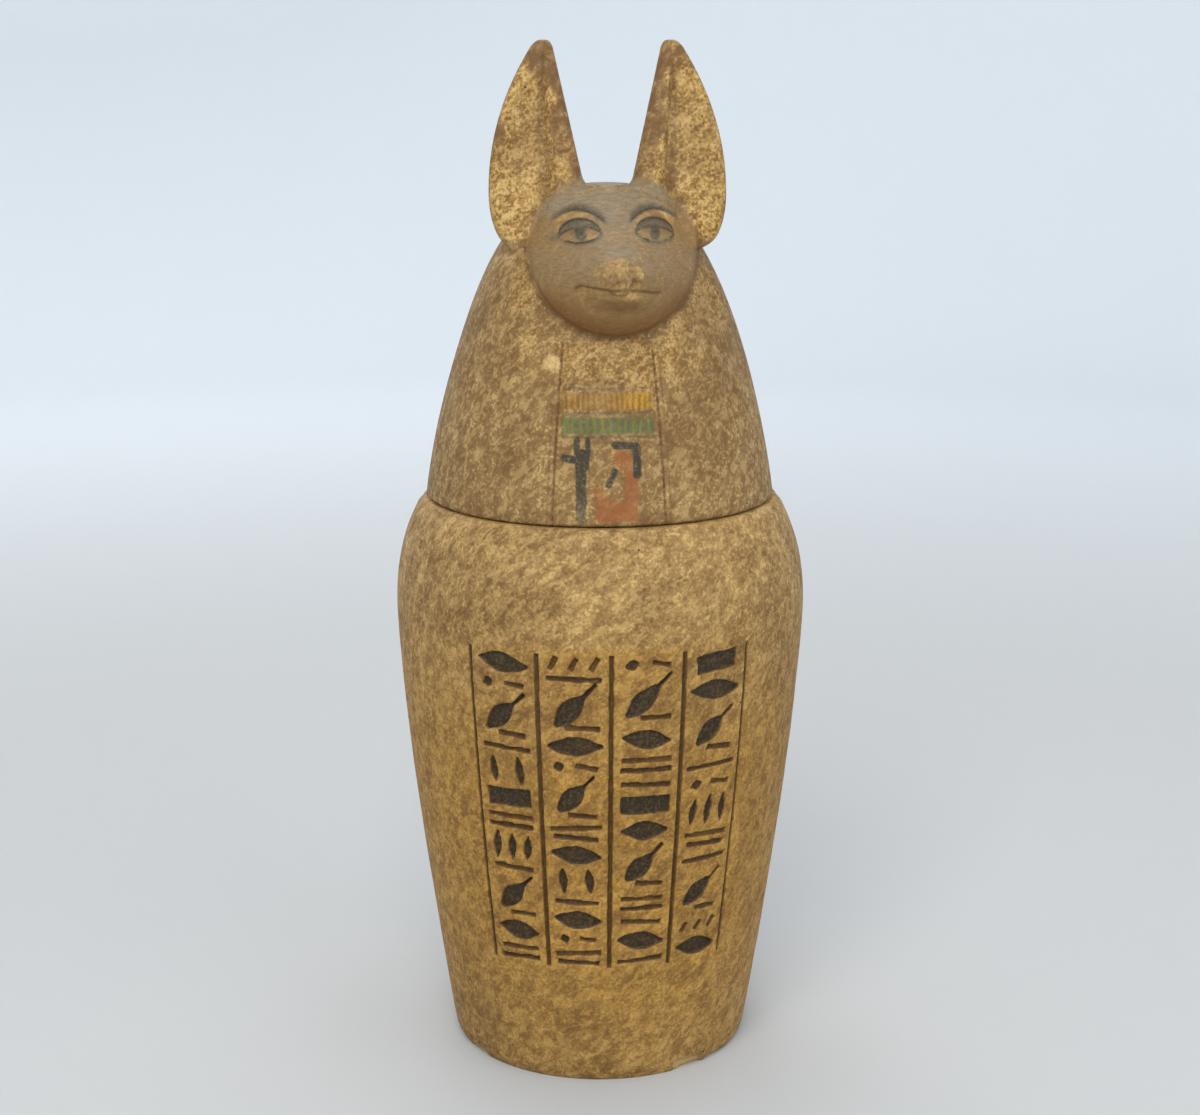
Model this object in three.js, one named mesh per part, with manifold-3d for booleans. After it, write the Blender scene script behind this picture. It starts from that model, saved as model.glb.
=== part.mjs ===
// A jackal-headed canopic jar in painted limestone: a hollow jar that tapers to its foot, and the
// solid lid, carved as a jackal's head in a long wig, whose plug sits in the jar's mouth.
// Millimetres, +Z up. The head faces -Y, and the origin is the centre of the foot, on the ground.
import * as THREE from "three";
import { mergeVertices } from "three/addons/utils/BufferGeometryUtils.js";
import Module from "manifold-3d";

const wasm = await Module();
wasm.setup();

// Jar, outside
const JAR_HEIGHT = 190;
const FOOT_RADIUS = 49.2;
const FOOT_BEVEL_HEIGHT = 5;
const FOOT_BEVEL_WIDTH = 2;
const BELLY_RADIUS = 68.6;
const BELLY_HEIGHT = 155;
const BELLY_CURVE = 1.4; // exponent of the taper from the belly down to the foot
const RIM_RADIUS = 59.6;
const RIM_EDGE = 1.5; // rounding of the rim's outer edge
const SHOULDER_CURVE = 2.2; // exponent of the curve from the belly up to the rim

// Jar, inside
const WALL = 12;
const FLOOR = 14;
const FLOOR_CORNER = 10; // the hollow's rounding where wall and floor meet
const MOUTH_RADIUS = 42;
const MOUTH_DEPTH = 16; // straight part of the mouth, before the hollow widens
const HOLLOW_SHOULDER = 24; // height over which the hollow widens below the mouth

// Lid
const LID_GAP = 0.3; // the joint between jar and lid
const LID_RADIUS = 57.9;
const LID_EDGE = 1.5; // rounding of the lid's lower edge
const CROWN_HEIGHT = 293; // top of the skull above the ground
const WIG_BELL = 1.2; // inner exponent of the wig's bell shape
const WIG_DOME = 0.385; // outer exponent of the wig's bell shape
const PLUG_CLEARANCE = 1;
const PLUG_DEPTH = 12;
const PLUG_CHAMFER = 1.5;

// Face: a snout that stands out of the wig, seen from the front as two half ellipses
const FACE_X = 3;
const FACE_Z = 272.9;
const FACE_HALF_WIDTH = 27;
const FACE_LOW = 24.5; // centre down to the chin
const FACE_HIGH = 18; // centre up to the top of the forehead
const FACE_PROUD_CHIN = 2; // how far the outline stands out of the wig at the chin
const FACE_PROUD_TOP = -1.5; // below the wig's surface, so the forehead runs into the skull
const CHEEK_REACH = 15; // how far the broad dome of the face reaches forward
const CHEEK_CURVE = 0.9;
const SNOUT_REACH = 8; // how far the snout reaches beyond that dome
const SNOUT_DROP = 5; // the snout's middle below the face's centre
const SNOUT_HALF_WIDTH = 13;
const SNOUT_HALF_HEIGHT = 9;
const NOSE_RAISE = 1.4;
const NOSE_DROP = 4.4;
const NOSE_HALF_WIDTH = 7;
const NOSE_HALF_HEIGHT = 5.5;
const FACE_BACK = 6; // the face's block ends this far in front of the lid's axis
const FACE_BACK_SHARE = 0.7; // its outline there, drawn in to stay inside the wig

// Eyes, brows and mouth: cuts on the face, placed from its centre
const EYE_APART = 11.8;
const EYE_UP = 6.2;
const EYE_LENGTH = 13.4;
const EYE_OPEN = 4.8;
const EYE_TILT = -6; // degrees: the outer corner is lower than the inner one
const PUPIL_RADIUS = 2;
const BROW_FROM = 4.5; // inner end of the brow line, across from the face's middle
const BROW_TO = 20; // outer end
const BROW_PEAK_ACROSS = 11.8;
const BROW_PEAK_UP = 13.3;
const BROW_SPREAD = 4.6; // a larger spread is a flatter brow
const MOUTH_DROP = 9.6;
const MOUTH_WIDTH = 27;
const MOUTH_SLOPE = -0.07; // the rise of the mouth for each millimetre across
const FACE_CUT = 0.9; // width of the cuts
const FACE_CUT_DEPTH = 0.8;

// Ears: upright leaves, mirrored about the head's middle
const HEAD_X = 1.8;
const EAR_TIP_Z = 338;
const EAR_TIP_X = 20.3;
const EAR_LOBE_Z = 272;
const EAR_WIDE_Z = 290; // where the outer edge is furthest out
const EAR_WIDE_X = 38.1;
const EAR_LOBE_X = 29; // the outer edge at the foot of the lobe, before it is rounded
const EAR_ROOT_X = 7.6; // the inner edge where it leaves the crown
const EAR_OUTER_CURVE = 2.1;
const EAR_TIP_ROUND = 2.6;
const EAR_LOBE_ROUND = 5;
const EAR_LOBE_INNER_X = 19; // the inner edge at the lobe, behind the cheek
const EAR_THICKNESS = 10;
const EAR_TIP_THICKNESS = 5;
const EAR_LOBE_Y = -15; // middle of the ear's thickness at the lobe
const EAR_TIP_Y = -6; // and at the tip, so the ear leans back
const EAR_SCOOP = 2.6; // depth of the hollow in the ear's front
const EAR_FOLD = 0.3; // where the fold stands, from the inner edge, as a share of the width

// Bib on the wig's front: two cut side lines, three rules, and a staff beside a seated shape
const BIB_HALF_ANGLE = 18; // degrees
const BIB_TOP_Z = 246;
const BIB_RULES = [232.4, 225, 217.8];
const BIB_CUT = 0.9;
const BIB_CUT_DEPTH = 0.7;
const STAFF_TOP_Z = 216;
const FIGURE_LOW_Z = 194;

// Written panel on the jar's front: five upright rules and four columns of plain strokes
const PANEL_TOP_Z = 152;
const PANEL_LOW_Z = 43;
const PANEL_HALF_ANGLE = 40; // degrees
const PANEL_COLUMNS = 4;
const RULE_WIDTH = 1.5;
const STROKE_DEPTH = 1.5;
const COLUMN_MARGIN = 2.8; // clear space on each side of a column's strokes
const THIN = 1.7; // widths of the strokes
const BROAD = 6.6;

// Mesh fineness
const JAR_SIDES = 36;
const HOLLOW_SIDES = 24;
const LID_SIDES = 38;
const FACE_RINGS = 8;
const FACE_SIDES = 24;
const EAR_ROWS = 8;
const EAR_SIDES = 12;

const radians = THREE.MathUtils.degToRad;

// The outer radius of the jar at a height.
function jarRadius(z) {
  if (z < FOOT_BEVEL_HEIGHT) {
    const bevelTop = jarRadius(FOOT_BEVEL_HEIGHT);
    return bevelTop - FOOT_BEVEL_WIDTH * (1 - z / FOOT_BEVEL_HEIGHT);
  }
  if (z < BELLY_HEIGHT) {
    const down = (BELLY_HEIGHT - z) / BELLY_HEIGHT;
    const taper = BELLY_RADIUS - FOOT_RADIUS - FOOT_BEVEL_WIDTH / 2;
    return BELLY_RADIUS - taper * down ** BELLY_CURVE;
  }
  const up = (z - BELLY_HEIGHT) / (JAR_HEIGHT - BELLY_HEIGHT);
  return BELLY_RADIUS - (BELLY_RADIUS - RIM_RADIUS) * up ** SHOULDER_CURVE;
}

// The radius of the jar's hollow at a height: the wall inside the jar, drawn in to the mouth.
function hollowRadius(z) {
  const mouthFoot = JAR_HEIGHT - MOUTH_DEPTH;
  if (z >= mouthFoot) return MOUTH_RADIUS;
  const widenFoot = mouthFoot - HOLLOW_SHOULDER;
  const wallRadius = jarRadius(Math.min(z, widenFoot)) - WALL;
  const up = THREE.MathUtils.clamp((z - widenFoot) / HOLLOW_SHOULDER, 0, 1);
  const drawnIn = (wallRadius - MOUTH_RADIUS) * (1 - Math.sqrt(1 - up * up));
  const low = THREE.MathUtils.clamp((FLOOR + FLOOR_CORNER - z) / FLOOR_CORNER, 0, 1);
  return wallRadius - drawnIn - FLOOR_CORNER * (1 - Math.sqrt(1 - low * low));
}

// The radius of the wig and skull at a height.
function wigRadius(z) {
  const low = JAR_HEIGHT + LID_GAP;
  const up = THREE.MathUtils.clamp((z - low) / (CROWN_HEIGHT - low), 0, 1);
  return LID_RADIUS * (1 - up ** WIG_BELL) ** WIG_DOME;
}

// Heights from low to high, closer together towards the top where ease is over 1.
function steps(low, high, count, ease = 1) {
  return Array.from({ length: count + 1 }, (_, i) => {
    const share = 1 - (1 - i / count) ** ease;
    return low + (high - low) * share;
  });
}

// A closed mesh as a solid for joining and cutting.
function solid(geometry) {
  const bare = geometry.clone();
  for (const name of Object.keys(bare.attributes)) {
    if (name !== "position") bare.deleteAttribute(name);
  }
  const merged = mergeVertices(bare, 1e-4);
  const kept = [];
  for (let i = 0; i < merged.index.count; i += 3) {
    const [a, b, c] = merged.index.array.slice(i, i + 3);
    if (a !== b && b !== c && c !== a) kept.push(a, b, c);
  }
  return new wasm.Manifold(
    new wasm.Mesh({
      numProp: 3,
      vertProperties: new Float32Array(merged.attributes.position.array),
      triVerts: new Uint32Array(kept),
    }),
  );
}

// A solid as a mesh geometry.
function geometryOf(made) {
  const { vertProperties, triVerts } = made.getMesh();
  const geometry = new THREE.BufferGeometry();
  geometry.setAttribute("position", new THREE.BufferAttribute(vertProperties, 3));
  geometry.setIndex(new THREE.BufferAttribute(triVerts, 1));
  geometry.computeVertexNormals();
  return geometry;
}

// A turned body from its outline, given as [radius, height] pairs from the axis up and back to it.
function turned(outline, sides) {
  const points = outline.map(([radius, height]) => new THREE.Vector2(radius, height));
  const geometry = new THREE.LatheGeometry(points, sides);
  geometry.rotateX(Math.PI / 2);
  return geometry;
}

// A closed mesh of rows of points: each row is a ring, and the first and last rows are capped.
function ringed(rows) {
  const sides = rows[0].length;
  const positions = [];
  const index = [];
  for (const row of rows) for (const point of row) positions.push(point.x, point.y, point.z);
  for (let i = 0; i + 1 < rows.length; i++) {
    for (let j = 0; j < sides; j++) {
      const a = i * sides + j;
      const b = i * sides + ((j + 1) % sides);
      index.push(a, b, b + sides, a, b + sides, a + sides);
    }
  }
  const caps = [
    { row: 0, turn: true },
    { row: rows.length - 1, turn: false },
  ];
  for (const { row, turn } of caps) {
    const centre = rows[row].reduce((sum, p) => sum.add(p), new THREE.Vector3());
    centre.divideScalar(sides);
    const middle = positions.length / 3;
    positions.push(centre.x, centre.y, centre.z);
    for (let j = 0; j < sides; j++) {
      const a = row * sides + j;
      const b = row * sides + ((j + 1) % sides);
      index.push(...(turn ? [b, a, middle] : [a, b, middle]));
    }
  }
  const geometry = new THREE.BufferGeometry();
  geometry.setAttribute("position", new THREE.Float32BufferAttribute(positions, 3));
  geometry.setIndex(index);
  return geometry;
}

// A carved surface maps a place on it, [across, height], to a point and the direction out of it.
// On a turned body, across is an arc in millimetres at the height where the stroke is centred.
function turnedSurface(radiusAt, centreAngle, centreZ) {
  const reference = radiusAt(centreZ);
  return ([across, z]) => {
    const angle = centreAngle + across / reference;
    const out = new THREE.Vector3(Math.sin(angle), -Math.cos(angle), 0);
    const point = out.clone().multiplyScalar(radiusAt(z));
    point.z = z;
    return { point, out };
  };
}

// The cutter of one stroke: a strip of a given width along a path on a surface, from above the
// surface down to the depth. A closed path makes a loop.
function cutter(surface, path, widthAt, depth, closed = false) {
  const above = 1;
  const rows = path.map(([a, b], i) => {
    const last = path.length - 1;
    const before = path[closed ? (i + last) % (last + 1) : Math.max(i - 1, 0)];
    const after = path[closed ? (i + 1) % (last + 1) : Math.min(i + 1, last)];
    const along = new THREE.Vector2(after[0] - before[0], after[1] - before[1]).normalize();
    const half = widthAt(i / last) / 2;
    const left = surface([a - along.y * half, b + along.x * half]);
    const right = surface([a + along.y * half, b - along.x * half]);
    const at = (side, lift) => side.point.clone().addScaledVector(side.out, lift);
    return [at(right, -depth), at(left, -depth), at(left, above), at(right, above)];
  });
  if (!closed) return solid(ringed(rows));
  const halfway = Math.floor(rows.length / 2);
  const firstHalf = solid(ringed(rows.slice(0, halfway + 1)));
  const secondHalf = solid(ringed([...rows.slice(halfway), rows[0]]));
  return firstHalf.add(secondHalf);
}

// A straight stroke's path, centred at [across, height] and tilted in degrees.
function straight([across, z], length, tilt, pieces) {
  const turn = radians(tilt);
  return steps(-length / 2, length / 2, pieces).map((s) => [
    across + s * Math.cos(turn),
    z + s * Math.sin(turn),
  ]);
}

// The width of a stroke along its length, with the number of straight pieces that it takes.
const even = (width) => Object.assign(() => width, { pieces: 1 });
const pointed = (width) =>
  Object.assign((t) => width * (0.18 + 0.94 * Math.sin(Math.PI * t)), { pieces: 3 });
const drop = (width) =>
  Object.assign((t) => width * (0.2 + 0.8 * Math.sin(Math.PI * Math.min(t * 1.4, 1))), { pieces: 3 });

// Each kind of row in a column: its height, and its strokes as [across share, up, length, tilt, width].
// Across and length are shares of the column's clear width, and up is from the row's middle.
const ROW_KINDS = {
  bar: { height: 4.4, strokes: [[0, 0, 1, 0, even(THIN)]] },
  pair: {
    height: 7,
    strokes: [
      [0, 1.6, 1, 0, even(THIN)],
      [0, -1.8, 1, 0, even(THIN)],
    ],
  },
  broad: { height: 7.4, strokes: [[0, 0, 1, -3, pointed(BROAD)]] },
  block: { height: 7.6, strokes: [[0, 0, 0.92, 3, even(BROAD - 0.4)]] },
  ticks: {
    height: 9.4,
    strokes: [-0.34, 0, 0.34].map((across) => [across, 0, 0.62, 84, pointed(3)]),
  },
  posts: {
    height: 9.6,
    strokes: [-0.28, 0.26].map((across) => [across, 0, 0.62, 94, pointed(3)]),
  },
  slant: {
    height: 14.6,
    strokes: [
      [0.02, 1.8, 1.12, 44, drop(BROAD)],
      [0.14, -5.8, 0.6, -2, even(THIN)],
    ],
  },
  dashes: {
    height: 5,
    strokes: [-0.36, 0, 0.36].map((across) => [across, 0, 0.26, 58, even(1.7)]),
  },
  dots: {
    height: 5.4,
    strokes: [
      [-0.3, 0, 0.24, 20, pointed(3.4)],
      [0.22, 0, 0.4, -8, even(THIN)],
    ],
  },
};

// The rows of each column, from the top down.
const COLUMN_ROWS = [
  "broad dots slant bar posts block pair ticks bar slant broad pair",
  "dashes bar slant broad dots slant pair broad posts bar broad dots pair",
  "dots slant broad pair bar block broad slant pair bar broad bar",
  "block broad slant bar dots ticks pair bar slant dashes broad",
].map((rows) => rows.split(" "));

// The cutters of the jar's written panel.
function panelCutters() {
  const made = [];
  const columnAngle = radians((2 * PANEL_HALF_ANGLE) / PANEL_COLUMNS);
  const height = PANEL_TOP_Z - PANEL_LOW_Z;
  for (let i = 0; i <= PANEL_COLUMNS; i++) {
    const angle = (i - PANEL_COLUMNS / 2) * columnAngle;
    const middle = (PANEL_TOP_Z + PANEL_LOW_Z) / 2;
    const surface = ([across, z]) => turnedSurface(jarRadius, angle, z)([across, z]);
    const outer = i === 0 || i === PANEL_COLUMNS;
    const path = straight([0, middle], height, 90, 5);
    made.push(cutter(surface, path, even(outer ? RULE_WIDTH * 0.6 : RULE_WIDTH), STROKE_DEPTH));
  }
  COLUMN_ROWS.forEach((kinds, column) => {
    const angle = (column - (PANEL_COLUMNS - 1) / 2) * columnAngle;
    const used = kinds.reduce((sum, kind) => sum + ROW_KINDS[kind].height, 0);
    const stretch = height / used;
    let top = PANEL_TOP_Z;
    for (const kind of kinds) {
      const row = ROW_KINDS[kind];
      const z = top - (row.height * stretch) / 2;
      const clear = jarRadius(z) * columnAngle - 2 * COLUMN_MARGIN;
      const surface = turnedSurface(jarRadius, angle, z);
      for (const [across, up, share, tilt, widthAt] of row.strokes) {
        const path = straight([across * clear, z + up], share * clear, tilt, widthAt.pieces);
        made.push(cutter(surface, path, widthAt, STROKE_DEPTH));
      }
      top -= row.height * stretch;
    }
  });
  return made;
}

// The jar: turned outside, hollow inside, with the panel cut into its front.
function jar() {
  const roundRim = (turn) => [
    RIM_RADIUS - RIM_EDGE + RIM_EDGE * Math.cos(radians(turn)),
    JAR_HEIGHT - RIM_EDGE + RIM_EDGE * Math.sin(radians(turn)),
  ];
  const outside = [
    [0, 0],
    [jarRadius(0), 0],
    ...steps(FOOT_BEVEL_HEIGHT, BELLY_HEIGHT, 6).map((z) => [jarRadius(z), z]),
    ...steps(BELLY_HEIGHT, JAR_HEIGHT - RIM_EDGE, 5, 1.4)
      .slice(1)
      .map((z) => [jarRadius(z), z]),
    roundRim(45),
    roundRim(90),
    [0, JAR_HEIGHT],
  ];
  const mouthFoot = JAR_HEIGHT - MOUTH_DEPTH;
  const above = 5;
  const inside = [
    [0, FLOOR],
    ...steps(FLOOR, FLOOR + FLOOR_CORNER, 3, 0.6).map((z) => [hollowRadius(z), z]),
    ...steps(FLOOR + FLOOR_CORNER, mouthFoot - HOLLOW_SHOULDER, 3)
      .slice(1)
      .map((z) => [hollowRadius(z), z]),
    ...steps(mouthFoot - HOLLOW_SHOULDER, mouthFoot, 4, 1.8)
      .slice(1)
      .map((z) => [hollowRadius(z), z]),
    [MOUTH_RADIUS, JAR_HEIGHT + above],
    [0, JAR_HEIGHT + above],
  ];
  const body = solid(turned(outside, JAR_SIDES));
  const hollow = solid(turned(inside, HOLLOW_SIDES));
  return body.subtract(hollow).subtract(wasm.Manifold.union(panelCutters()));
}

// How far the face reaches in front of the axis at [across, up] from the face's centre.
function faceFront([across, up]) {
  const z = FACE_Z + up;
  const halfHeight = up < 0 ? FACE_LOW : FACE_HIGH;
  const outline = (across / FACE_HALF_WIDTH) ** 2 + (up / halfHeight) ** 2;
  const fromAxis = FACE_X + across;
  const wig = Math.sqrt(Math.max(wigRadius(z) ** 2 - fromAxis ** 2, 0));
  const topness = THREE.MathUtils.smoothstep(up, 0, FACE_HIGH);
  const proud = THREE.MathUtils.lerp(FACE_PROUD_CHIN, FACE_PROUD_TOP, topness);
  const cheeks = CHEEK_REACH * Math.max(1 - outline, 0) ** CHEEK_CURVE;
  const snoutAcross = across / SNOUT_HALF_WIDTH;
  const snoutUp = (up + SNOUT_DROP) / SNOUT_HALF_HEIGHT;
  const snout = SNOUT_REACH * Math.exp(-(snoutAcross ** 2) - snoutUp ** 2);
  const noseAcross = Math.abs(across / NOSE_HALF_WIDTH);
  const noseUp = Math.abs((up + NOSE_DROP) / NOSE_HALF_HEIGHT);
  const nose = NOSE_RAISE * Math.exp(-(noseAcross ** 4) - noseUp ** 4);
  return wig + proud + cheeks + snout + nose;
}

// The face as a carved surface, for its cuts.
function faceSurface([across, up]) {
  const near = 0.5;
  const reach = faceFront([across, up]);
  const slopeAcross = (faceFront([across + near, up]) - reach) / near;
  const slopeUp = (faceFront([across, up + near]) - reach) / near;
  return {
    point: new THREE.Vector3(FACE_X + across, -reach, FACE_Z + up),
    out: new THREE.Vector3(-slopeAcross, -1, -slopeUp).normalize(),
  };
}

// The face's block: rings of points from the snout's middle out to the outline, closed at the back.
function face() {
  const ring = (share, point) =>
    Array.from({ length: FACE_SIDES }, (_, j) => {
      const turn = (2 * Math.PI * j) / FACE_SIDES;
      const up = Math.sin(turn);
      const across = share * FACE_HALF_WIDTH * Math.cos(turn);
      return point([across, share * up * (up < 0 ? FACE_LOW : FACE_HIGH)]);
    });
  const front = steps(1, 0.05, FACE_RINGS, 1).map((share) =>
    ring(share, (place) => faceSurface(place).point),
  );
  const back = ring(FACE_BACK_SHARE, ([across, up]) => {
    return new THREE.Vector3(FACE_X + across, -FACE_BACK, FACE_Z + up);
  });
  return solid(ringed([back, ...front]));
}

// The cutters of the eyes, brows and mouth.
function faceCutters() {
  const made = [];
  const cut = even(FACE_CUT);
  for (const side of [-1, 1]) {
    const tilt = radians(EYE_TILT);
    const place = (along, up) => [
      side * (EYE_APART + along * Math.cos(tilt) - up * Math.sin(tilt)),
      EYE_UP + along * Math.sin(tilt) + up * Math.cos(tilt),
    ];
    const lid = (turn) => {
      const along = (EYE_LENGTH / 2) * Math.cos(turn);
      return place(along, (EYE_OPEN / 2) * Math.sin(turn) * Math.abs(Math.sin(turn)) ** 0.4);
    };
    const lids = Array.from({ length: 12 }, (_, i) => lid((side * 2 * Math.PI * i) / 12));
    made.push(cutter(faceSurface, lids, cut, FACE_CUT_DEPTH, true));
    const pupil = straight(place(0, 0), 2 * PUPIL_RADIUS, 0, 3);
    made.push(cutter(faceSurface, pupil, pointed(2 * PUPIL_RADIUS), FACE_CUT_DEPTH / 2));
    const brow = steps(BROW_FROM, BROW_TO, 8).map((across) => [
      side * across,
      BROW_PEAK_UP - ((across - BROW_PEAK_ACROSS) / BROW_SPREAD) ** 2,
    ]);
    made.push(cutter(faceSurface, brow, cut, FACE_CUT_DEPTH));
  }
  const mouth = steps(-1, 1, 10).map((share) => [
    (share * MOUTH_WIDTH) / 2,
    -MOUTH_DROP + (MOUTH_SLOPE * share * MOUTH_WIDTH) / 2,
  ]);
  made.push(cutter(faceSurface, mouth, cut, FACE_CUT_DEPTH));
  return made;
}

// The ear's outer edge, from the head's middle, at a height.
function earOuter(z) {
  if (z > EAR_WIDE_Z) {
    const up = (z - EAR_WIDE_Z) / (EAR_TIP_Z - EAR_WIDE_Z);
    return EAR_WIDE_X - (EAR_WIDE_X - EAR_TIP_X - EAR_TIP_ROUND) * up ** EAR_OUTER_CURVE;
  }
  const down = (EAR_WIDE_Z - z) / (EAR_WIDE_Z - EAR_LOBE_Z);
  return EAR_WIDE_X - (EAR_WIDE_X - EAR_LOBE_X) * (1 - Math.sqrt(Math.max(1 - down ** 2, 0)));
}

// The ear's inner edge: straight from the tip to the crown, then out and down behind the cheek.
function earInner(z) {
  if (z > CROWN_HEIGHT) {
    const up = (z - CROWN_HEIGHT) / (EAR_TIP_Z - CROWN_HEIGHT);
    return THREE.MathUtils.lerp(EAR_ROOT_X, EAR_TIP_X - EAR_TIP_ROUND, up);
  }
  const down = (CROWN_HEIGHT - z) / (CROWN_HEIGHT - EAR_LOBE_Z);
  return THREE.MathUtils.lerp(EAR_ROOT_X, EAR_LOBE_INNER_X, down);
}

// One ear: level sections stacked from the lobe to the tip, hollowed in front beside a fold.
function ear(side) {
  const tipStart = EAR_TIP_Z - EAR_TIP_ROUND;
  const lobeEnd = EAR_LOBE_Z + EAR_LOBE_ROUND;
  const heights = [
    ...[0.02, 0.15, 0.45].map((share) => EAR_LOBE_Z + share * EAR_LOBE_ROUND),
    ...steps(lobeEnd, tipStart, EAR_ROWS),
    EAR_TIP_Z - EAR_TIP_ROUND * 0.3,
    EAR_TIP_Z,
  ];
  const rows = heights.map((z) => {
    const up = (z - EAR_LOBE_Z) / (EAR_TIP_Z - EAR_LOBE_Z);
    const inTip = Math.max((z - tipStart) / EAR_TIP_ROUND, 0);
    const inLobe = Math.max((lobeEnd - z) / EAR_LOBE_ROUND, 0);
    const narrow = Math.max(Math.sqrt(Math.max(1 - inTip ** 2 - inLobe ** 2, 0)), 0.15);
    const middle = (earInner(z) + earOuter(z)) / 2;
    const half = ((earOuter(z) - earInner(z)) / 2) * narrow;
    const thick = THREE.MathUtils.lerp(EAR_THICKNESS, EAR_TIP_THICKNESS, up) * narrow;
    const y = THREE.MathUtils.lerp(EAR_LOBE_Y, EAR_TIP_Y, up);
    const scoop = EAR_SCOOP * Math.sin(Math.PI * Math.min(up * 1.15, 1)) * narrow;
    return Array.from({ length: EAR_SIDES }, (_, j) => {
      const turn = (2 * Math.PI * j) / EAR_SIDES;
      const across = Math.cos(turn);
      const share = (across + 1) / 2;
      const round = Math.sign(Math.sin(turn)) * Math.abs(Math.sin(turn)) ** 0.7;
      const inField = THREE.MathUtils.smoothstep(share, EAR_FOLD - 0.06, EAR_FOLD + 0.12);
      const field = inField * (1 - THREE.MathUtils.smoothstep(share, 0.7, 1));
      const hollow = round < 0 ? scoop * field : 0;
      const x = HEAD_X + side * (middle + half * across);
      return new THREE.Vector3(x, y + (thick / 2) * round + hollow, z);
    });
  });
  if (side < 0) for (const row of rows) row.reverse();
  return solid(ringed(rows));
}

// The cutters of the bib.
function bibCutters() {
  const made = [];
  const half = radians(BIB_HALF_ANGLE);
  const low = JAR_HEIGHT + LID_GAP + LID_EDGE;
  const cut = even(BIB_CUT);
  for (const side of [-1, 1]) {
    const surface = ([across, z]) => turnedSurface(wigRadius, side * half, z)([across, z]);
    const line = straight([0, (low + BIB_TOP_Z) / 2], BIB_TOP_Z - low, 90, 5);
    made.push(cutter(surface, line, cut, BIB_CUT_DEPTH));
  }
  for (const z of BIB_RULES) {
    const width = 2 * half * wigRadius(z) - 2 * BIB_CUT;
    const rule = straight([0, z], width, 0, 5);
    made.push(cutter(turnedSurface(wigRadius, 0, z), rule, cut, BIB_CUT_DEPTH));
  }
  const surface = turnedSurface(wigRadius, 0, FIGURE_LOW_Z);
  const staff = (STAFF_TOP_Z + FIGURE_LOW_Z) / 2;
  const shapes = [
    [[-9, staff], STAFF_TOP_Z - FIGURE_LOW_Z, 88, even(3.2)],
    [[-9.6, STAFF_TOP_Z - 6], 8, 4, even(2)],
    [[9, FIGURE_LOW_Z + 12], 16, 84, even(5.4)],
    [[5, FIGURE_LOW_Z + 3.2], 13, 8, even(5)],
  ];
  const cuts = shapes.map(([centre, length, tilt, widthAt]) =>
    cutter(surface, straight(centre, length, tilt, 3), widthAt, BIB_CUT_DEPTH),
  );
  return [...made, ...cuts];
}

// The lid: wig and skull, face, ears and plug as one carved solid.
function lid() {
  const low = JAR_HEIGHT + LID_GAP;
  const plugRadius = MOUTH_RADIUS - PLUG_CLEARANCE;
  const plugLow = JAR_HEIGHT - PLUG_DEPTH;
  const outline = [
    [0, plugLow],
    [plugRadius - PLUG_CHAMFER, plugLow],
    [plugRadius, plugLow + PLUG_CHAMFER],
    [plugRadius, low],
    [wigRadius(low) - LID_EDGE, low],
    ...steps(low + LID_EDGE, CROWN_HEIGHT, 13, 1.7).map((z) => [wigRadius(z), z]),
  ];
  const parts = [solid(turned(outline, LID_SIDES)), face(), ear(-1), ear(1)];
  const carved = wasm.Manifold.union(parts);
  return carved.subtract(wasm.Manifold.union([...faceCutters(), ...bibCutters()]));
}

// Painted limestone: an ochre and brown wash over pale stone.
function limestone(colour) {
  return new THREE.MeshStandardMaterial({ color: colour, roughness: 0.75, metalness: 0 });
}

function piece(name, made, colour) {
  const mesh = new THREE.Mesh(geometryOf(made), limestone(colour));
  mesh.name = name;
  return mesh;
}

const canopicJar = new THREE.Group();
canopicJar.add(piece("jar", jar(), 0x9a7a4a));
canopicJar.add(piece("lid", lid(), 0x94744a));

export default canopicJar;
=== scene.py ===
"""The looks of a jackal-headed canopic jar in painted limestone.

The jar is a turned grid of points whose front is carved with a panel of plain strokes. The lid is
the surface of one field that joins the wig, face, ears and plug, refined where the carving is fine.
Shapes are worked out in millimetres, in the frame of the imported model, and stored in metres.
"""

import math
from types import SimpleNamespace

import bmesh
import bpy
import numpy as np
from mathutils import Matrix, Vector


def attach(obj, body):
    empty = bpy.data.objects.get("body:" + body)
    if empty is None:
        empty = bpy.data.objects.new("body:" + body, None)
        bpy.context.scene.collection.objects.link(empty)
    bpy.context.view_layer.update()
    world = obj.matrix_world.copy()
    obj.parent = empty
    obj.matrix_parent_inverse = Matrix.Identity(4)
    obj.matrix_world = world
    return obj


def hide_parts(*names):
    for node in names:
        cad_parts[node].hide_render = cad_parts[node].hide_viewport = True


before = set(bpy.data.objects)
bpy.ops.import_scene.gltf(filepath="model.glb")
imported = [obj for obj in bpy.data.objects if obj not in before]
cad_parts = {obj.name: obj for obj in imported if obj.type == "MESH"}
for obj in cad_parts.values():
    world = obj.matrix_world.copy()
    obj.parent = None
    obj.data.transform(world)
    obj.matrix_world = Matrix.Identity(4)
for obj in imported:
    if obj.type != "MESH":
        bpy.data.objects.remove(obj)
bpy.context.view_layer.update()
MM = 0.001

# Camera, fitted to the photograph's outline
CAMERA_LENS = 66.6
CAMERA_SENSOR = 36
CAMERA_DISTANCE = 0.7309
CAMERA_HEIGHT = 0.3386
CAMERA_PITCH = 13.18
CAMERA_AZIMUTH = -3

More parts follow.
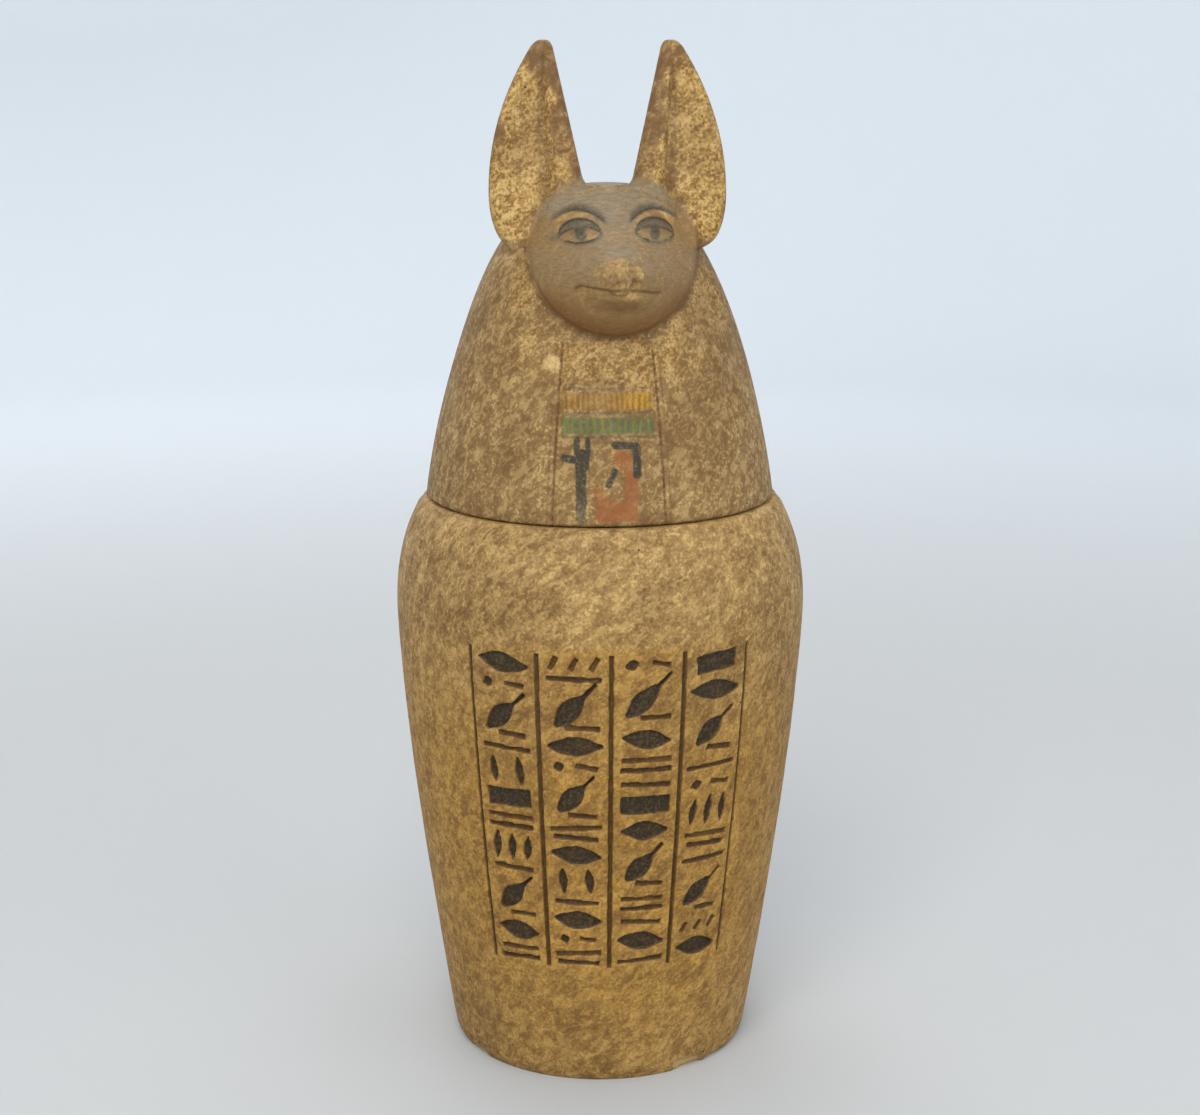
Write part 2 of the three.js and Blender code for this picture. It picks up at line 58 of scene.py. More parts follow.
# Stage and light, in metres and watts
STAGE_RADIUS = 1.5
STAGE_BEND = 0.4
STAGE_HEIGHT = 2.4
STAGE_SIDES = 96
SKY_COLOUR = (0.86, 0.92, 1.0, 1.0)
SKY_STRENGTH = 0.3
LIGHT_AIM = (0, 0, 0.18)
# Each light: its name, place, size, power and colour.
LIGHTS = (
    ("key", (-0.3, -1.3, 1.5), 1.0, 20, (1.0, 0.98, 0.95)),
    ("fill", (1.1, -1.1, 0.8), 1.3, 5, (0.95, 0.97, 1.0)),
    ("top", (0.1, 0.3, 1.6), 1.2, 6.5, (1.0, 1.0, 1.0)),
    ("back", (-0.4, 1.3, 1.1), 1.2, 5, (1.0, 1.0, 1.0)),
)

# Jar, outside
JAR_HEIGHT = 190
FOOT_RADIUS = 49.2
FOOT_BEVEL_HEIGHT = 5
FOOT_BEVEL_WIDTH = 2
BELLY_RADIUS = 68.6
BELLY_HEIGHT = 155
BELLY_CURVE = 1.4
RIM_RADIUS = 59.6
RIM_EDGE = 1.5
SHOULDER_CURVE = 2.2
SCRIBED_LINE_Z = 4.6
SCRIBED_LINE_DEPTH = 0.3
JAR_SHADE = 0.0
JAR_SWELL = 0.22
JAR_RIPPLE = 0.06
# Each loss: its angle and height, half its length and height, and its depth.
JAR_CHIPS = (
    (33, 1.2, 9, 3.2, 1.6),
    (47, 0.6, 5, 2.4, 1.2),
    (-60, 0.8, 6, 2.0, 1.0),
    (150, 0.6, 8, 2.6, 1.2),
    (-52, 188.5, 5, 1.6, 0.8),
    (-74, 189, 3, 1.4, 0.7),
    (62, 189, 6, 1.4, 0.8),
    (170, 189, 5, 1.6, 0.8),
)

# Jar, inside
WALL = 12
FLOOR = 14
FLOOR_CORNER = 10
MOUTH_RADIUS = 42
MOUTH_DEPTH = 16
HOLLOW_SHOULDER = 24

# Lid
LID_GAP = 0.3
LID_LOW = JAR_HEIGHT + LID_GAP
LID_RADIUS = 57.9
LID_EDGE = 1.5
LID_SHADE = 0.5
LID_SWELL = 0.2
CROWN_EDGE = 4
CROWN_CUT = 0.9
LID_BOX = ((-62, -66, 175), (62, 62, 341))
CROWN_HEIGHT = 293
WIG_BELL = 1.2
WIG_DOME = 0.385
PLUG_CLEARANCE = 1
PLUG_DEPTH = 12

# Face, across and up from its centre
FACE_X = 3
FACE_Z = 272.9
FACE_HALF_WIDTH = 27
FACE_LOW = 24.5
FACE_HIGH = 18
FACE_PROUD_CHIN = 2
FACE_PROUD_TOP = -1.5
CHEEK_REACH = 15
CHEEK_CURVE = 0.9
SNOUT_REACH = 8
SNOUT_DROP = 5
SNOUT_HALF_WIDTH = 13
SNOUT_HALF_HEIGHT = 9
EYE_MIDDLE = 0.6
EYE_APART = 11.8
EYE_UP = 6.2
EYE_LENGTH = 12.6
EYE_OPEN = 4
EYE_TILT = -8
BROW_FROM = 4
BROW_TO = 20.5
BROW_PEAK_ACROSS = 11.8
BROW_PEAK_UP = 13.3
BROW_SPREAD = 4.6
LID_BAND = 2.1
NOSE_X = 0.7
NOSE_UP = -4.8
NOSE_HALF_WIDTH = 7.9
NOSE_HALF_HEIGHT = 5.6
MOUTH_DROP = 9.6
MOUTH_WIDTH = 27
MOUTH_SLOPE = -0.09
FACE_FILLET = 0.9
BROW_FILLET = 3.5
FACE_BOX = ((-28, -66, 244), (34, 2, 297))

# Relief of the face, out of its surface or into it
SOCKET_DEPTH = 1.3
EYEBALL_RISE = 1.3
LID_BAND_RISE = 0.7
LID_CREASE_DEPTH = 0.35
LOWER_LID_RISE = 0.4
BROW_RISE = 0.5
MOUTH_CUT_DEPTH = 0.8
LIP_RISE = 1.4
CHIN_FOLD_DEPTH = 0.5
PHILTRUM_DEPTH = 0.35
NOSE_RISE = 0.9
NOSE_ROUGHNESS = 1.25
NOSTRIL_DEPTH = 0.8
NOSTRIL_APART = 3.6

# Ears, mirrored about the head's middle
HEAD_X = 1.8
EAR_TIP_Z = 338
EAR_TIP_X = 20.3
EAR_LOBE_Z = 272
EAR_WIDE_Z = 290
EAR_WIDE_X = 38.1
EAR_LOBE_X = 29
EAR_ROOT_X = 7.6
EAR_LOBE_INNER_X = 19
EAR_OUTER_CURVE = 2.1
EAR_TIP_ROUND = 2.6
EAR_LOBE_ROUND = 5
EAR_THICKNESS = 10
EAR_TIP_THICKNESS = 5
EAR_LOBE_Y = -15
EAR_TIP_Y = -6
EAR_SCOOP = 3
EAR_FOLD = 0.3
EAR_GROOVE = 0.5
EAR_RIDGE = 0.3
EAR_LEAN = 0.136
EAR_FILLET = 3.5
CROWN_FILLET = 4.5
EAR_BOX = ((-42, -30, 262), (46, 6, 342))

# Bib on the wig's front
BIB_HALF_ANGLE = math.radians(18)
BIB_TOP_Z = 246
BIB_RULES = (232.4, 225, 217.8)
BIB_LINE = 0.9
BIB_DEPTH = 0.6
BIB_BOX = ((-24, -62, JAR_HEIGHT), (24, -30, BIB_TOP_Z + 1))
FRINGE_STEP = 1.35
YELLOW_STEP = 1.75
GREEN_STEP = 2.4
SIDE_REACH = 3
SECOND_LINE_OFF = 1.7

# Written panel on the jar's front
PANEL_TOP_Z = 152
PANEL_LOW_Z = 43
PANEL_HALF_ANGLE = 40
PANEL_COLUMNS = 4
RULE_WIDTH = 1.5
STROKE_DEPTH = 1.5
COLUMN_MARGIN = 2.8
THIN = 1.7
BROAD = 6.6

# Mesh fineness
PANEL_STEP = 0.42
PLAIN_STEP = 3.2
AROUND_STEP = 5
FIELD_STEP = 1.4
CELL_CORNERS = [(a, b, c) for a in (0, 1) for b in (0, 1) for c in (0, 1)]

rng = np.random.default_rng(20)
LATTICE = rng.permutation(256)
LATTICE_VALUES = rng.uniform(-1, 1, 256)


def smooth(value, low, high):
    """0 below low, 1 above high, and an even curve between."""
    t = np.clip((value - low) / (high - low), 0, 1)
    return t * t * (3 - 2 * t)


def bell(value, width):
    """1 at 0, and nearly nothing from twice the width on."""
    return np.exp(-((value / width) ** 2))


def lattice_noise(points, size, octaves=3):
    """Smooth noise around 0 at points, with features of about size millimetres."""
    total = np.zeros(len(points))
    weight = 1.0
    for octave in range(octaves):
        scaled = points / size * 2**octave + 17.3 * octave
        cell = np.floor(scaled).astype(int)
        part = scaled - cell
        part = part * part * (3 - 2 * part)
        value = np.zeros(len(points))
        for corner in range(8):
            step = np.array([corner & 1, corner >> 1 & 1, corner >> 2 & 1])
            x, y, z = ((cell + step) & 255).T
            hashed = LATTICE[(LATTICE[(LATTICE[x] + y) & 255] + z) & 255]
            share = np.prod(np.where(step, part, 1 - part), axis=1)
            value += LATTICE_VALUES[hashed] * share
        total += value * weight
        weight *= 0.5
    return total


def jar_radius(z):
    """The jar's outer radius at each height."""
    z = np.asarray(z, float)
    down = np.clip((BELLY_HEIGHT - z) / BELLY_HEIGHT, 0, 1)
    down = np.minimum(down, 1 - FOOT_BEVEL_HEIGHT / BELLY_HEIGHT)
    taper = BELLY_RADIUS - FOOT_RADIUS - FOOT_BEVEL_WIDTH / 2
    up = np.clip((z - BELLY_HEIGHT) / (JAR_HEIGHT - BELLY_HEIGHT), 0, 1)
    shoulder = (BELLY_RADIUS - RIM_RADIUS) * up**SHOULDER_CURVE
    bevel = FOOT_BEVEL_WIDTH * np.clip(1 - z / FOOT_BEVEL_HEIGHT, 0, 1) ** 1.6
    return BELLY_RADIUS - taper * down**BELLY_CURVE - shoulder - bevel


def hollow_radius(z):
    """The hollow's radius at each height between its floor and the mouth."""
    z = np.asarray(z, float)
    mouth_foot = JAR_HEIGHT - MOUTH_DEPTH
    widen_foot = mouth_foot - HOLLOW_SHOULDER
    wall_radius = jar_radius(np.minimum(z, widen_foot)) - WALL
    up = np.clip((z - widen_foot) / HOLLOW_SHOULDER, 0, 1)
    drawn_in = (wall_radius - MOUTH_RADIUS) * (1 - np.sqrt(1 - up * up))
    low = np.clip((FLOOR + FLOOR_CORNER - z) / FLOOR_CORNER, 0, 1)
    return wall_radius - drawn_in - FLOOR_CORNER * (1 - np.sqrt(1 - low * low))


def wig_radius(z):
    up = np.clip((z - LID_LOW) / (CROWN_HEIGHT - LID_LOW), 0, 1)
    return LID_RADIUS * (1 - up**WIG_BELL) ** WIG_DOME


# Strokes of the written panel, as their width along them


def even(width):
    return lambda t: np.full_like(t, width)


def pointed(width):
    return lambda t: width * (0.12 + 0.88 * np.sin(np.pi * t))


def drop(width):
    return lambda t: width * (0.2 + 0.8 * np.sin(np.pi * np.minimum(t * 1.4, 1)))


# Each kind of row: its height, and its strokes as (across, up, length, tilt, width, ink).
# Across and length are shares of the column's clear width. Ink is how dark the stroke is filled.
ROW_KINDS = {
    "bar": (4.4, [(0, 0, 1, 0, even(THIN), 0.5)]),
    "pair": (7, [(0, 1.6, 1, 0, even(THIN), 0.2), (0, -1.8, 1, 0, even(THIN), 0.6)]),
    "broad": (7.4, [(0, 0, 1, -3, pointed(BROAD), 0.95)]),
    "block": (7.6, [(0, 0, 0.92, 3, even(BROAD - 0.4), 1)]),
    "ticks": (9.4, [(a, 0, 0.62, 84, pointed(3.0), 0.95) for a in (-0.34, 0, 0.34)]),
    "posts": (9.6, [(a, 0, 0.62, 94, pointed(3.0), 0.9) for a in (-0.28, 0.26)]),
    "slant": (
        14.6,
        [(0.02, 1.8, 1.12, 44, drop(BROAD), 1), (0.14, -5.8, 0.6, -2, even(THIN), 0.4)],
    ),
    "dots": (5.4, [(-0.3, 0, 0.24, 20, pointed(3.4), 0.7), (0.22, 0, 0.4, -8, even(THIN), 0.3)]),
    "dashes": (5, [(a, 0, 0.26, 58, even(1.7), 0.15) for a in (-0.36, 0, 0.36)]),
}
COLUMN_ROWS = (
    "broad dots slant bar posts block pair ticks bar slant broad pair",
    "dashes bar slant broad dots slant pair broad posts bar broad dots pair",
    "dots slant broad pair bar block broad slant pair bar broad bar",
    "block broad slant bar dots ticks pair bar slant dashes broad",
)


def stroke_distance(across, up, centre, length, tilt, width_at, wobble):
    """How far points are outside a stroke's edge, less than 0 within it."""
    turn = math.radians(tilt)
    da, du = across - centre[0], up - centre[1]
    along = da * math.cos(turn) + du * math.sin(turn)
    off = -da * math.sin(turn) + du * math.cos(turn)
    t = np.clip(along / length + 0.5, 0, 1)
    beyond = np.abs(along) - length / 2
    side = np.abs(off) - width_at(t) / 2
    return np.maximum(side, beyond) + wobble


def panel_carving(angle, z, points):
    """Distance from the nearest stroke's edge, at most 2, and that stroke's ink."""
    nearest = np.full(len(z), 2.0)
    ink = np.zeros(len(z))
    wobble = 0.26 * lattice_noise(points, 2.6, 2)
    column_angle = math.radians(2 * PANEL_HALF_ANGLE / PANEL_COLUMNS)
    high = PANEL_TOP_Z - PANEL_LOW_Z

    def add(where, distance, ink_share):
        closer = distance < nearest[where]
        ink[where] = np.where(closer, ink_share, ink[where])
        nearest[where] = np.minimum(nearest[where], distance)

    for i in range(PANEL_COLUMNS + 1):
        centre = (i - PANEL_COLUMNS / 2) * column_angle
        outer = i in (0, PANEL_COLUMNS)
        across = (angle - centre) * jar_radius(z)
        where = np.abs(across) < 3
        width = RULE_WIDTH * (0.8 if outer else 1)
        middle = (0, (PANEL_TOP_Z + PANEL_LOW_Z) / 2)
        distance = stroke_distance(
            across[where], z[where], middle, high, 90, even(width), wobble[where] * 0.6
        )
        add(where, distance, 0.85 if outer else 0.4)
    for column, kinds in enumerate(COLUMN_ROWS):
        centre = (column - (PANEL_COLUMNS - 1) / 2) * column_angle
        kinds = kinds.split()
        stretch = high / sum(ROW_KINDS[kind][0] for kind in kinds)
        top = PANEL_TOP_Z
        for kind in kinds:
            row_height, strokes = ROW_KINDS[kind]
            row_z = top - row_height * stretch / 2
            reference = float(jar_radius(row_z))
            clear = reference * column_angle - 2 * COLUMN_MARGIN
            across = (angle - centre) * reference
            where = (np.abs(across) < clear) & (np.abs(z - row_z) < row_height)
            for share_across, up, share, tilt, width_at, ink_share in strokes:
                middle = (share_across * clear, row_z + up)
                length = share * clear * rng.uniform(0.88, 1.06)
                tilt = tilt + rng.uniform(-4, 4)
                distance = stroke_distance(
                    across[where], z[where], middle, length, tilt, width_at, wobble[where]
                )
                add(where, distance, ink_share)
            top -= row_height * stretch
    return nearest, ink


def new_piece(name, vertices, faces, node, attributes):
    """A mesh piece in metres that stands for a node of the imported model."""
    mesh = bpy.data.meshes.new(name)
    mesh.from_pydata((np.asarray(vertices) * MM).tolist(), [], faces)
    for key, values in attributes.items():
        layer = mesh.attributes.new(key, "FLOAT", "POINT")
        layer.data.foreach_set("value", np.asarray(values, np.float32))
    mesh.polygons.foreach_set("use_smooth", [True] * len(mesh.polygons))
    mesh.update()
    piece = bpy.data.objects.new(name, mesh)
    bpy.context.scene.collection.objects.link(piece)
    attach(piece, "root")
    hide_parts(node)
    return piece


def jar_angles():
    """Angles around the jar from its front: fine across the panel, wider elsewhere."""
    edge = math.radians(PANEL_HALF_ANGLE + 3)
    fine = np.linspace(-edge, edge, int(2 * edge * 64 / PANEL_STEP))
    count = int((2 * math.pi - 2 * edge) * 60 / AROUND_STEP)
    plain = np.linspace(edge, 2 * math.pi - edge, count + 1)[1:-1]
    return np.concatenate([fine, plain])


def jar_rows():
    """The jar's section as (radius, height, outside), from the foot's middle to the floor's."""
    rows = [(r, 0, False) for r in (8, 24, 38, 46)]
    heights = [
        np.linspace(0, 9, 14),
        np.arange(12, PANEL_LOW_Z - 2, PLAIN_STEP),
        np.arange(PANEL_LOW_Z - 1.5, PANEL_TOP_Z + 1.5, PANEL_STEP),
        np.arange(PANEL_TOP_Z + 3, JAR_HEIGHT - 2 * RIM_EDGE, PLAIN_STEP),
        [JAR_HEIGHT - 2 * RIM_EDGE],
    ]
    rows += [(float(jar_radius(z)), z, True) for z in np.concatenate(heights)]
    for turn in np.radians((0, 25, 50, 75, 90)):
        radius = RIM_RADIUS - RIM_EDGE * (1 - math.cos(turn))
        rows.append((radius, JAR_HEIGHT - RIM_EDGE * (1 - math.sin(turn)), True))
    rows += [(r, JAR_HEIGHT, False) for r in (55, 50, 46, MOUTH_RADIUS + 0.8)]
    rows.append((MOUTH_RADIUS, JAR_HEIGHT - 0.8, False))
    inner = np.concatenate([np.linspace(JAR_HEIGHT - 3, 150, 12), np.linspace(140, 24, 8)])
    inner = np.concatenate([inner, np.linspace(21, FLOOR, 5)])
    rows += [(float(hollow_radius(z)), z, False) for z in inner]
    rows += [(r, FLOOR, False) for r in (18, 6)]
    return rows


def apart(angle, degrees):
    """Distance around the jar's foot from an angle."""
    turn = (angle - math.radians(degrees) + math.pi) % (2 * math.pi) - math.pi
    return np.abs(turn) * FOOT_RADIUS


def jar_chips(points):
    """Depth of the small losses on the foot's edge and the rim."""
    x, y, z = points.T
    angle = np.arctan2(x, -y)
    ragged = lattice_noise(points, 4.0, 3)
    chips = np.zeros(len(points))
    for at, height, half_length, half_height, deep in JAR_CHIPS:
        inside = 1 - np.hypot(apart(angle, at) / half_length, (z - height) / half_height)
        chips = np.maximum(chips, deep * smooth(inside + 0.35 * ragged, 0, 0.5))
    return chips


def jar_faces(count, rows):
    """Quads between the rows, and fans to the last two points, under the foot and on the floor."""
    around = np.arange(count)
    following = np.roll(around, -1)
    faces = []
    for row in range(rows - 1):
        low, high = row * count, (row + 1) * count
        quads = np.stack([around + low, following + low, following + high, around + high], axis=1)
        faces += quads.tolist()
    last, bottom = (rows - 1) * count, rows * count
    faces += [[int(b), int(a), bottom] for a, b in zip(around, following)]
    faces += [[int(a) + last, int(b) + last, bottom + 1] for a, b in zip(around, following)]
    return faces


def build_jar():
    angles = jar_angles()
    rows = jar_rows()
    count = len(angles)
    angle = np.tile(angles, len(rows))
    radius = np.repeat([row[0] for row in rows], count)
    z = np.repeat([row[1] for row in rows], count).astype(float)
    outside = np.repeat([row[2] for row in rows], count)
    out = np.stack([np.sin(angle), -np.cos(angle), np.zeros(len(angle))], axis=1)
    points = out * radius[:, None] + np.stack([z * 0, z * 0, z], axis=1)
    signed = (angle + math.pi) % (2 * math.pi) - math.pi
    front = outside & (np.abs(signed) < math.radians(PANEL_HALF_ANGLE + 3))
    front &= (z > PANEL_LOW_Z - 2) & (z < PANEL_TOP_Z + 2)
    nearest, ink = np.full(len(z), 2.0), np.zeros(len(z))
    nearest[front], ink[front] = panel_carving(signed[front], z[front], points[front])
    depth = smooth(-nearest, -0.1, 0.35)
    beside = front * bell(np.abs(signed) / math.radians(PANEL_HALF_ANGLE), 1.1)
    uneven = JAR_SWELL * lattice_noise(points, 38.0, 2)
    uneven += JAR_RIPPLE * lattice_noise(points, 9.0, 2)
    chips = np.where(outside, jar_chips(points), 0)
    kept = smooth(lattice_noise(points, 22.0, 1), -0.3, 0.2)
    scribed = SCRIBED_LINE_DEPTH * bell(z - SCRIBED_LINE_Z, 0.5) * kept
    moved = np.where(outside, uneven - scribed, 0) - chips - STROKE_DEPTH * depth
    moved = np.where(outside & (z <= 0), np.minimum(moved, 0), moved)
    points = points + out * moved[:, None]
    knot = bell(apart(angle, -46), 8) * bell(z - 19, 10) * outside
    masks = {
        "cut": np.clip(0.5 - nearest / 1.2, 0, 1),
        "ink_fill": ink,
        "line": scribed * 2,
        "warm": beside,
        "stain": knot,
        "bare": np.maximum(chips * 0.8, 0.75 * (~outside & (z > 1))),
    }
    masks = {key: np.append(values, [0, 0]) for key, values in masks.items()}
    points = np.vstack([points, [[0, 0, 0], [0, 0, FLOOR]]])
    return new_piece("jar_carved", points, jar_faces(count, len(rows)), "jar", masks)


# The lid's field: less than 0 inside the stone, in about millimetres


def rounded_both(a, b, radius):
    """Where both fields are inside, with the edge between them rounded."""
    outer = np.hypot(np.maximum(a + radius, 0), np.maximum(b + radius, 0))
    return np.minimum(np.maximum(a, b) + radius, 0) + outer - radius


def joined(a, b, blend):
    """Where either field is inside, with a fillet of about the blend between them."""
    share = np.clip(0.5 + 0.5 * (b - a) / blend, 0, 1)
    return b + (a - b) * share - blend * share * (1 - share)


def bib_place(points):
    """Angle from the front, distance around the wig from the front, and height."""
    angle = np.arctan2(points[:, 0], -points[:, 1])
    return angle, angle * wig_radius(points[:, 2]), points[:, 2]


def bib_cuts(points):
    """Share of full depth of the bib's lines and strokes."""
    angle, across, z = bib_place(points)
    inside = np.abs(angle) < BIB_HALF_ANGLE
    side = bell((np.abs(angle) - BIB_HALF_ANGLE) * wig_radius(z), BIB_LINE / 2)
    side = side * smooth(BIB_TOP_Z - z, 0, 1)
    rules = sum(bell(z - rule, BIB_LINE / 2.4) for rule in BIB_RULES)
    rules = rules + bell(z - BIB_RULES[0] - 1.3, BIB_LINE / 3)
    fringe = 0.35 * (0.5 + 0.5 * np.cos(across * 2 * math.pi / FRINGE_STEP)) ** 3
    in_band = smooth(BIB_RULES[0] - z, 0.9, 1.4) * smooth(z - BIB_RULES[2], 0.7, 1.2)
    in_band = in_band * (1 - bell(z - BIB_RULES[1], 0.9))
    return side * smooth(z - LID_LOW, 0, 2), inside * (rules * 0.6 + fringe * in_band)


def wig_field(points):
    x, y, z = points.T
    rho = np.hypot(x, y)
    up = np.maximum((z - LID_LOW) / (CROWN_HEIGHT - LID_LOW), 0)
    power = 1 / WIG_DOME
    value = (rho / LID_RADIUS) ** power + up**WIG_BELL - 1
    slope_out = power / LID_RADIUS * (rho / LID_RADIUS) ** (power - 1)
    slope_up = WIG_BELL / (CROWN_HEIGHT - LID_LOW) * up ** (WIG_BELL - 1)
    body = value / np.maximum(np.hypot(slope_out, slope_up), 0.006)
    body = rounded_both(body, z - CROWN_HEIGHT + CROWN_CUT, CROWN_EDGE)
    return rounded_both(body, LID_LOW - z, LID_EDGE)


def plug_field(points):
    x, y, z = points.T
    side = np.hypot(x, y) - (MOUTH_RADIUS - PLUG_CLEARANCE)
    ends = np.abs(z - (JAR_HEIGHT - PLUG_DEPTH + 12)) - 12
    return rounded_both(side, ends, 1.5)


def eye_place(across, up):
    """Places along and up the nearer eye, its half height there, and along's share of its half."""
    tilt = math.radians(EYE_TILT)
    a = np.abs(across - EYE_MIDDLE) - EYE_APART
    b = up - EYE_UP
    along = a * math.cos(tilt) + b * math.sin(tilt)
    over = -a * math.sin(tilt) + b * math.cos(tilt)
    share = np.abs(along) / (EYE_LENGTH / 2)
    height = EYE_OPEN / 2 * np.maximum(1 - share**2, 0) ** 0.7
    return along, over, height, share


def lid_band_height(share):
    """Height of the fold above the eye at a share of its half length."""
    return LID_BAND * (0.35 + 0.65 * np.sqrt(np.maximum(1 - share**2, 0)))


def brow_distance(across, up):
    """Distance above the brow's line, and 1 where the line runs."""
    a = np.abs(across - EYE_MIDDLE)
    line = BROW_PEAK_UP - ((a - BROW_PEAK_ACROSS) / BROW_SPREAD) ** 2
    slope = 2 * (a - BROW_PEAK_ACROSS) / BROW_SPREAD**2
    there = smooth(a, BROW_FROM - 1, BROW_FROM + 1) * smooth(BROW_TO - a, -1, 1.5)
    return (up - line) / np.sqrt(1 + slope**2), there


def mouth_distance(across, up):
    """Distance above the mouth's line, and 1 where the line runs."""
    share = across / (MOUTH_WIDTH / 2)
    line = -MOUTH_DROP + MOUTH_SLOPE * across + 0.6 * (1 - share**2) + 0.25 * np.sin(share * 5)
    hook = 1.1 * smooth(-share, 0.82, 1.02) - 0.3 * smooth(share, 0.85, 1)
    there = smooth(1 - np.abs(share), -0.04, 0.06)
    return up - line + hook, there


def nose_cracks(ragged, worn):
    """Thin lines where the broken nose is fissured."""
    return np.maximum(bell(ragged - 0.12, 0.09), bell(worn + 0.1, 0.05))


def nose_share(across, up, ragged):
    """1 on the nose's pad, with a ragged edge."""
    out = np.hypot((across - NOSE_X) / NOSE_HALF_WIDTH, (up - NOSE_UP) / NOSE_HALF_HEIGHT)
    return smooth(1.1 - out + 0.22 * ragged, 0, 0.4)


def face_reach(across, up, ragged):
    """How far the face reaches in front of the lid's axis."""
    half_height = np.where(up < 0, FACE_LOW, FACE_HIGH)
    outline = (across / FACE_HALF_WIDTH) ** 2 + (up / half_height) ** 2
    wig = np.sqrt(np.maximum(wig_radius(FACE_Z + up) ** 2 - (FACE_X + across) ** 2, 0))
    topness = smooth(up, 0, FACE_HIGH)
    proud = FACE_PROUD_CHIN + (FACE_PROUD_TOP - FACE_PROUD_CHIN) * topness
    reach = wig + proud + CHEEK_REACH * np.maximum(1 - outline, 0) ** CHEEK_CURVE
    snout = bell(across, SNOUT_HALF_WIDTH) * bell(up + SNOUT_DROP, SNOUT_HALF_HEIGHT)
    reach += SNOUT_REACH * snout
    along, over, height, share = eye_place(across, up)
    reach -= SOCKET_DEPTH * bell(along, 8.5) * bell(over, 5)
    ball = np.clip(1 - (over / np.maximum(height, 0.05)) ** 2, 0, 1)
    reach += EYEBALL_RISE * ball * np.maximum(1 - share**2, 0) * (np.abs(over) < height)
    beside = smooth(1.15 - share, 0, 0.3)
    above, band = over - height, lid_band_height(share)
    reach += LID_BAND_RISE * smooth(above, 0, 0.35) * smooth(band - above, 0, 0.4) * beside
    reach -= LID_CREASE_DEPTH * bell(above - band - 0.2, 0.35) * beside
    reach += LOWER_LID_RISE * bell(over + height + 0.7, 0.6) * beside
    off, there = brow_distance(across, up)
    reach += BROW_RISE * bell(off + 1.2, 1.3) * there
    off, there = mouth_distance(across, up)
    reach -= MOUTH_CUT_DEPTH * bell(off, 0.45) * there
    reach += LIP_RISE * bell(off + 3.0, 2.0) * bell(across - 1, 6.5)
    reach -= CHIN_FOLD_DEPTH * bell(off + 6.2, 1.2) * bell(across - 1, 7)
    philtrum = bell(across - 0.5, 0.6) * smooth(off, 0, 1) * smooth(6 - off, 0, 2)
    reach -= PHILTRUM_DEPTH * philtrum
    nostrils = bell(np.abs(across - NOSE_X) - NOSTRIL_APART, 1.3)
    nostrils = nostrils * bell(up - NOSE_UP + 2.4, 1.1)
    nose = nose_share(across, up, ragged) * (NOSE_RISE + NOSE_ROUGHNESS * ragged)
    return reach + nose - NOSTRIL_DEPTH * nostrils


def face_place(points):
    return points[:, 0] - FACE_X, points[:, 2] - FACE_Z


def face_field(points):
    across, up = face_place(points)
    ragged = lattice_noise(points, 3.2, 3)
    step = 0.25
    reach = face_reach(across, up, ragged)
    slope_across = (face_reach(across + step, up, ragged) - reach) / step
    slope_up = (face_reach(across, up + step, ragged) - reach) / step
    front = (-points[:, 1] - reach) / np.sqrt(1 + slope_across**2 + slope_up**2)
    half_height = np.where(up < 0, FACE_LOW, FACE_HIGH + 2)
    near = np.hypot(across / FACE_HALF_WIDTH, up / half_height)
    steep = np.hypot(across / FACE_HALF_WIDTH**2, up / half_height**2)
    outline = near * (near - 1) / np.maximum(steep, 1e-4)
    return rounded_both(front, outline, 1.6)


def ear_edges(z):
    """The ear's inner and outer edge, from the head's middle, at each height."""
    high = np.clip((z - EAR_WIDE_Z) / (EAR_TIP_Z - EAR_WIDE_Z), 0, 1)
    low = np.clip((EAR_WIDE_Z - z) / (EAR_WIDE_Z - EAR_LOBE_Z), 0, 1)
    outer = EAR_WIDE_X - (EAR_WIDE_X - EAR_TIP_X - EAR_TIP_ROUND) * high**EAR_OUTER_CURVE
    outer = outer - (EAR_WIDE_X - EAR_LOBE_X) * (1 - np.sqrt(1 - low**2))
    over = np.clip((z - CROWN_HEIGHT) / (EAR_TIP_Z - CROWN_HEIGHT), 0, 1)
    under = np.clip((CROWN_HEIGHT - z) / (CROWN_HEIGHT - EAR_LOBE_Z), 0, 1)
    inner = EAR_ROOT_X + (EAR_TIP_X - EAR_TIP_ROUND - EAR_ROOT_X) * over
    return inner + (EAR_LOBE_INNER_X - EAR_ROOT_X) * under, outer


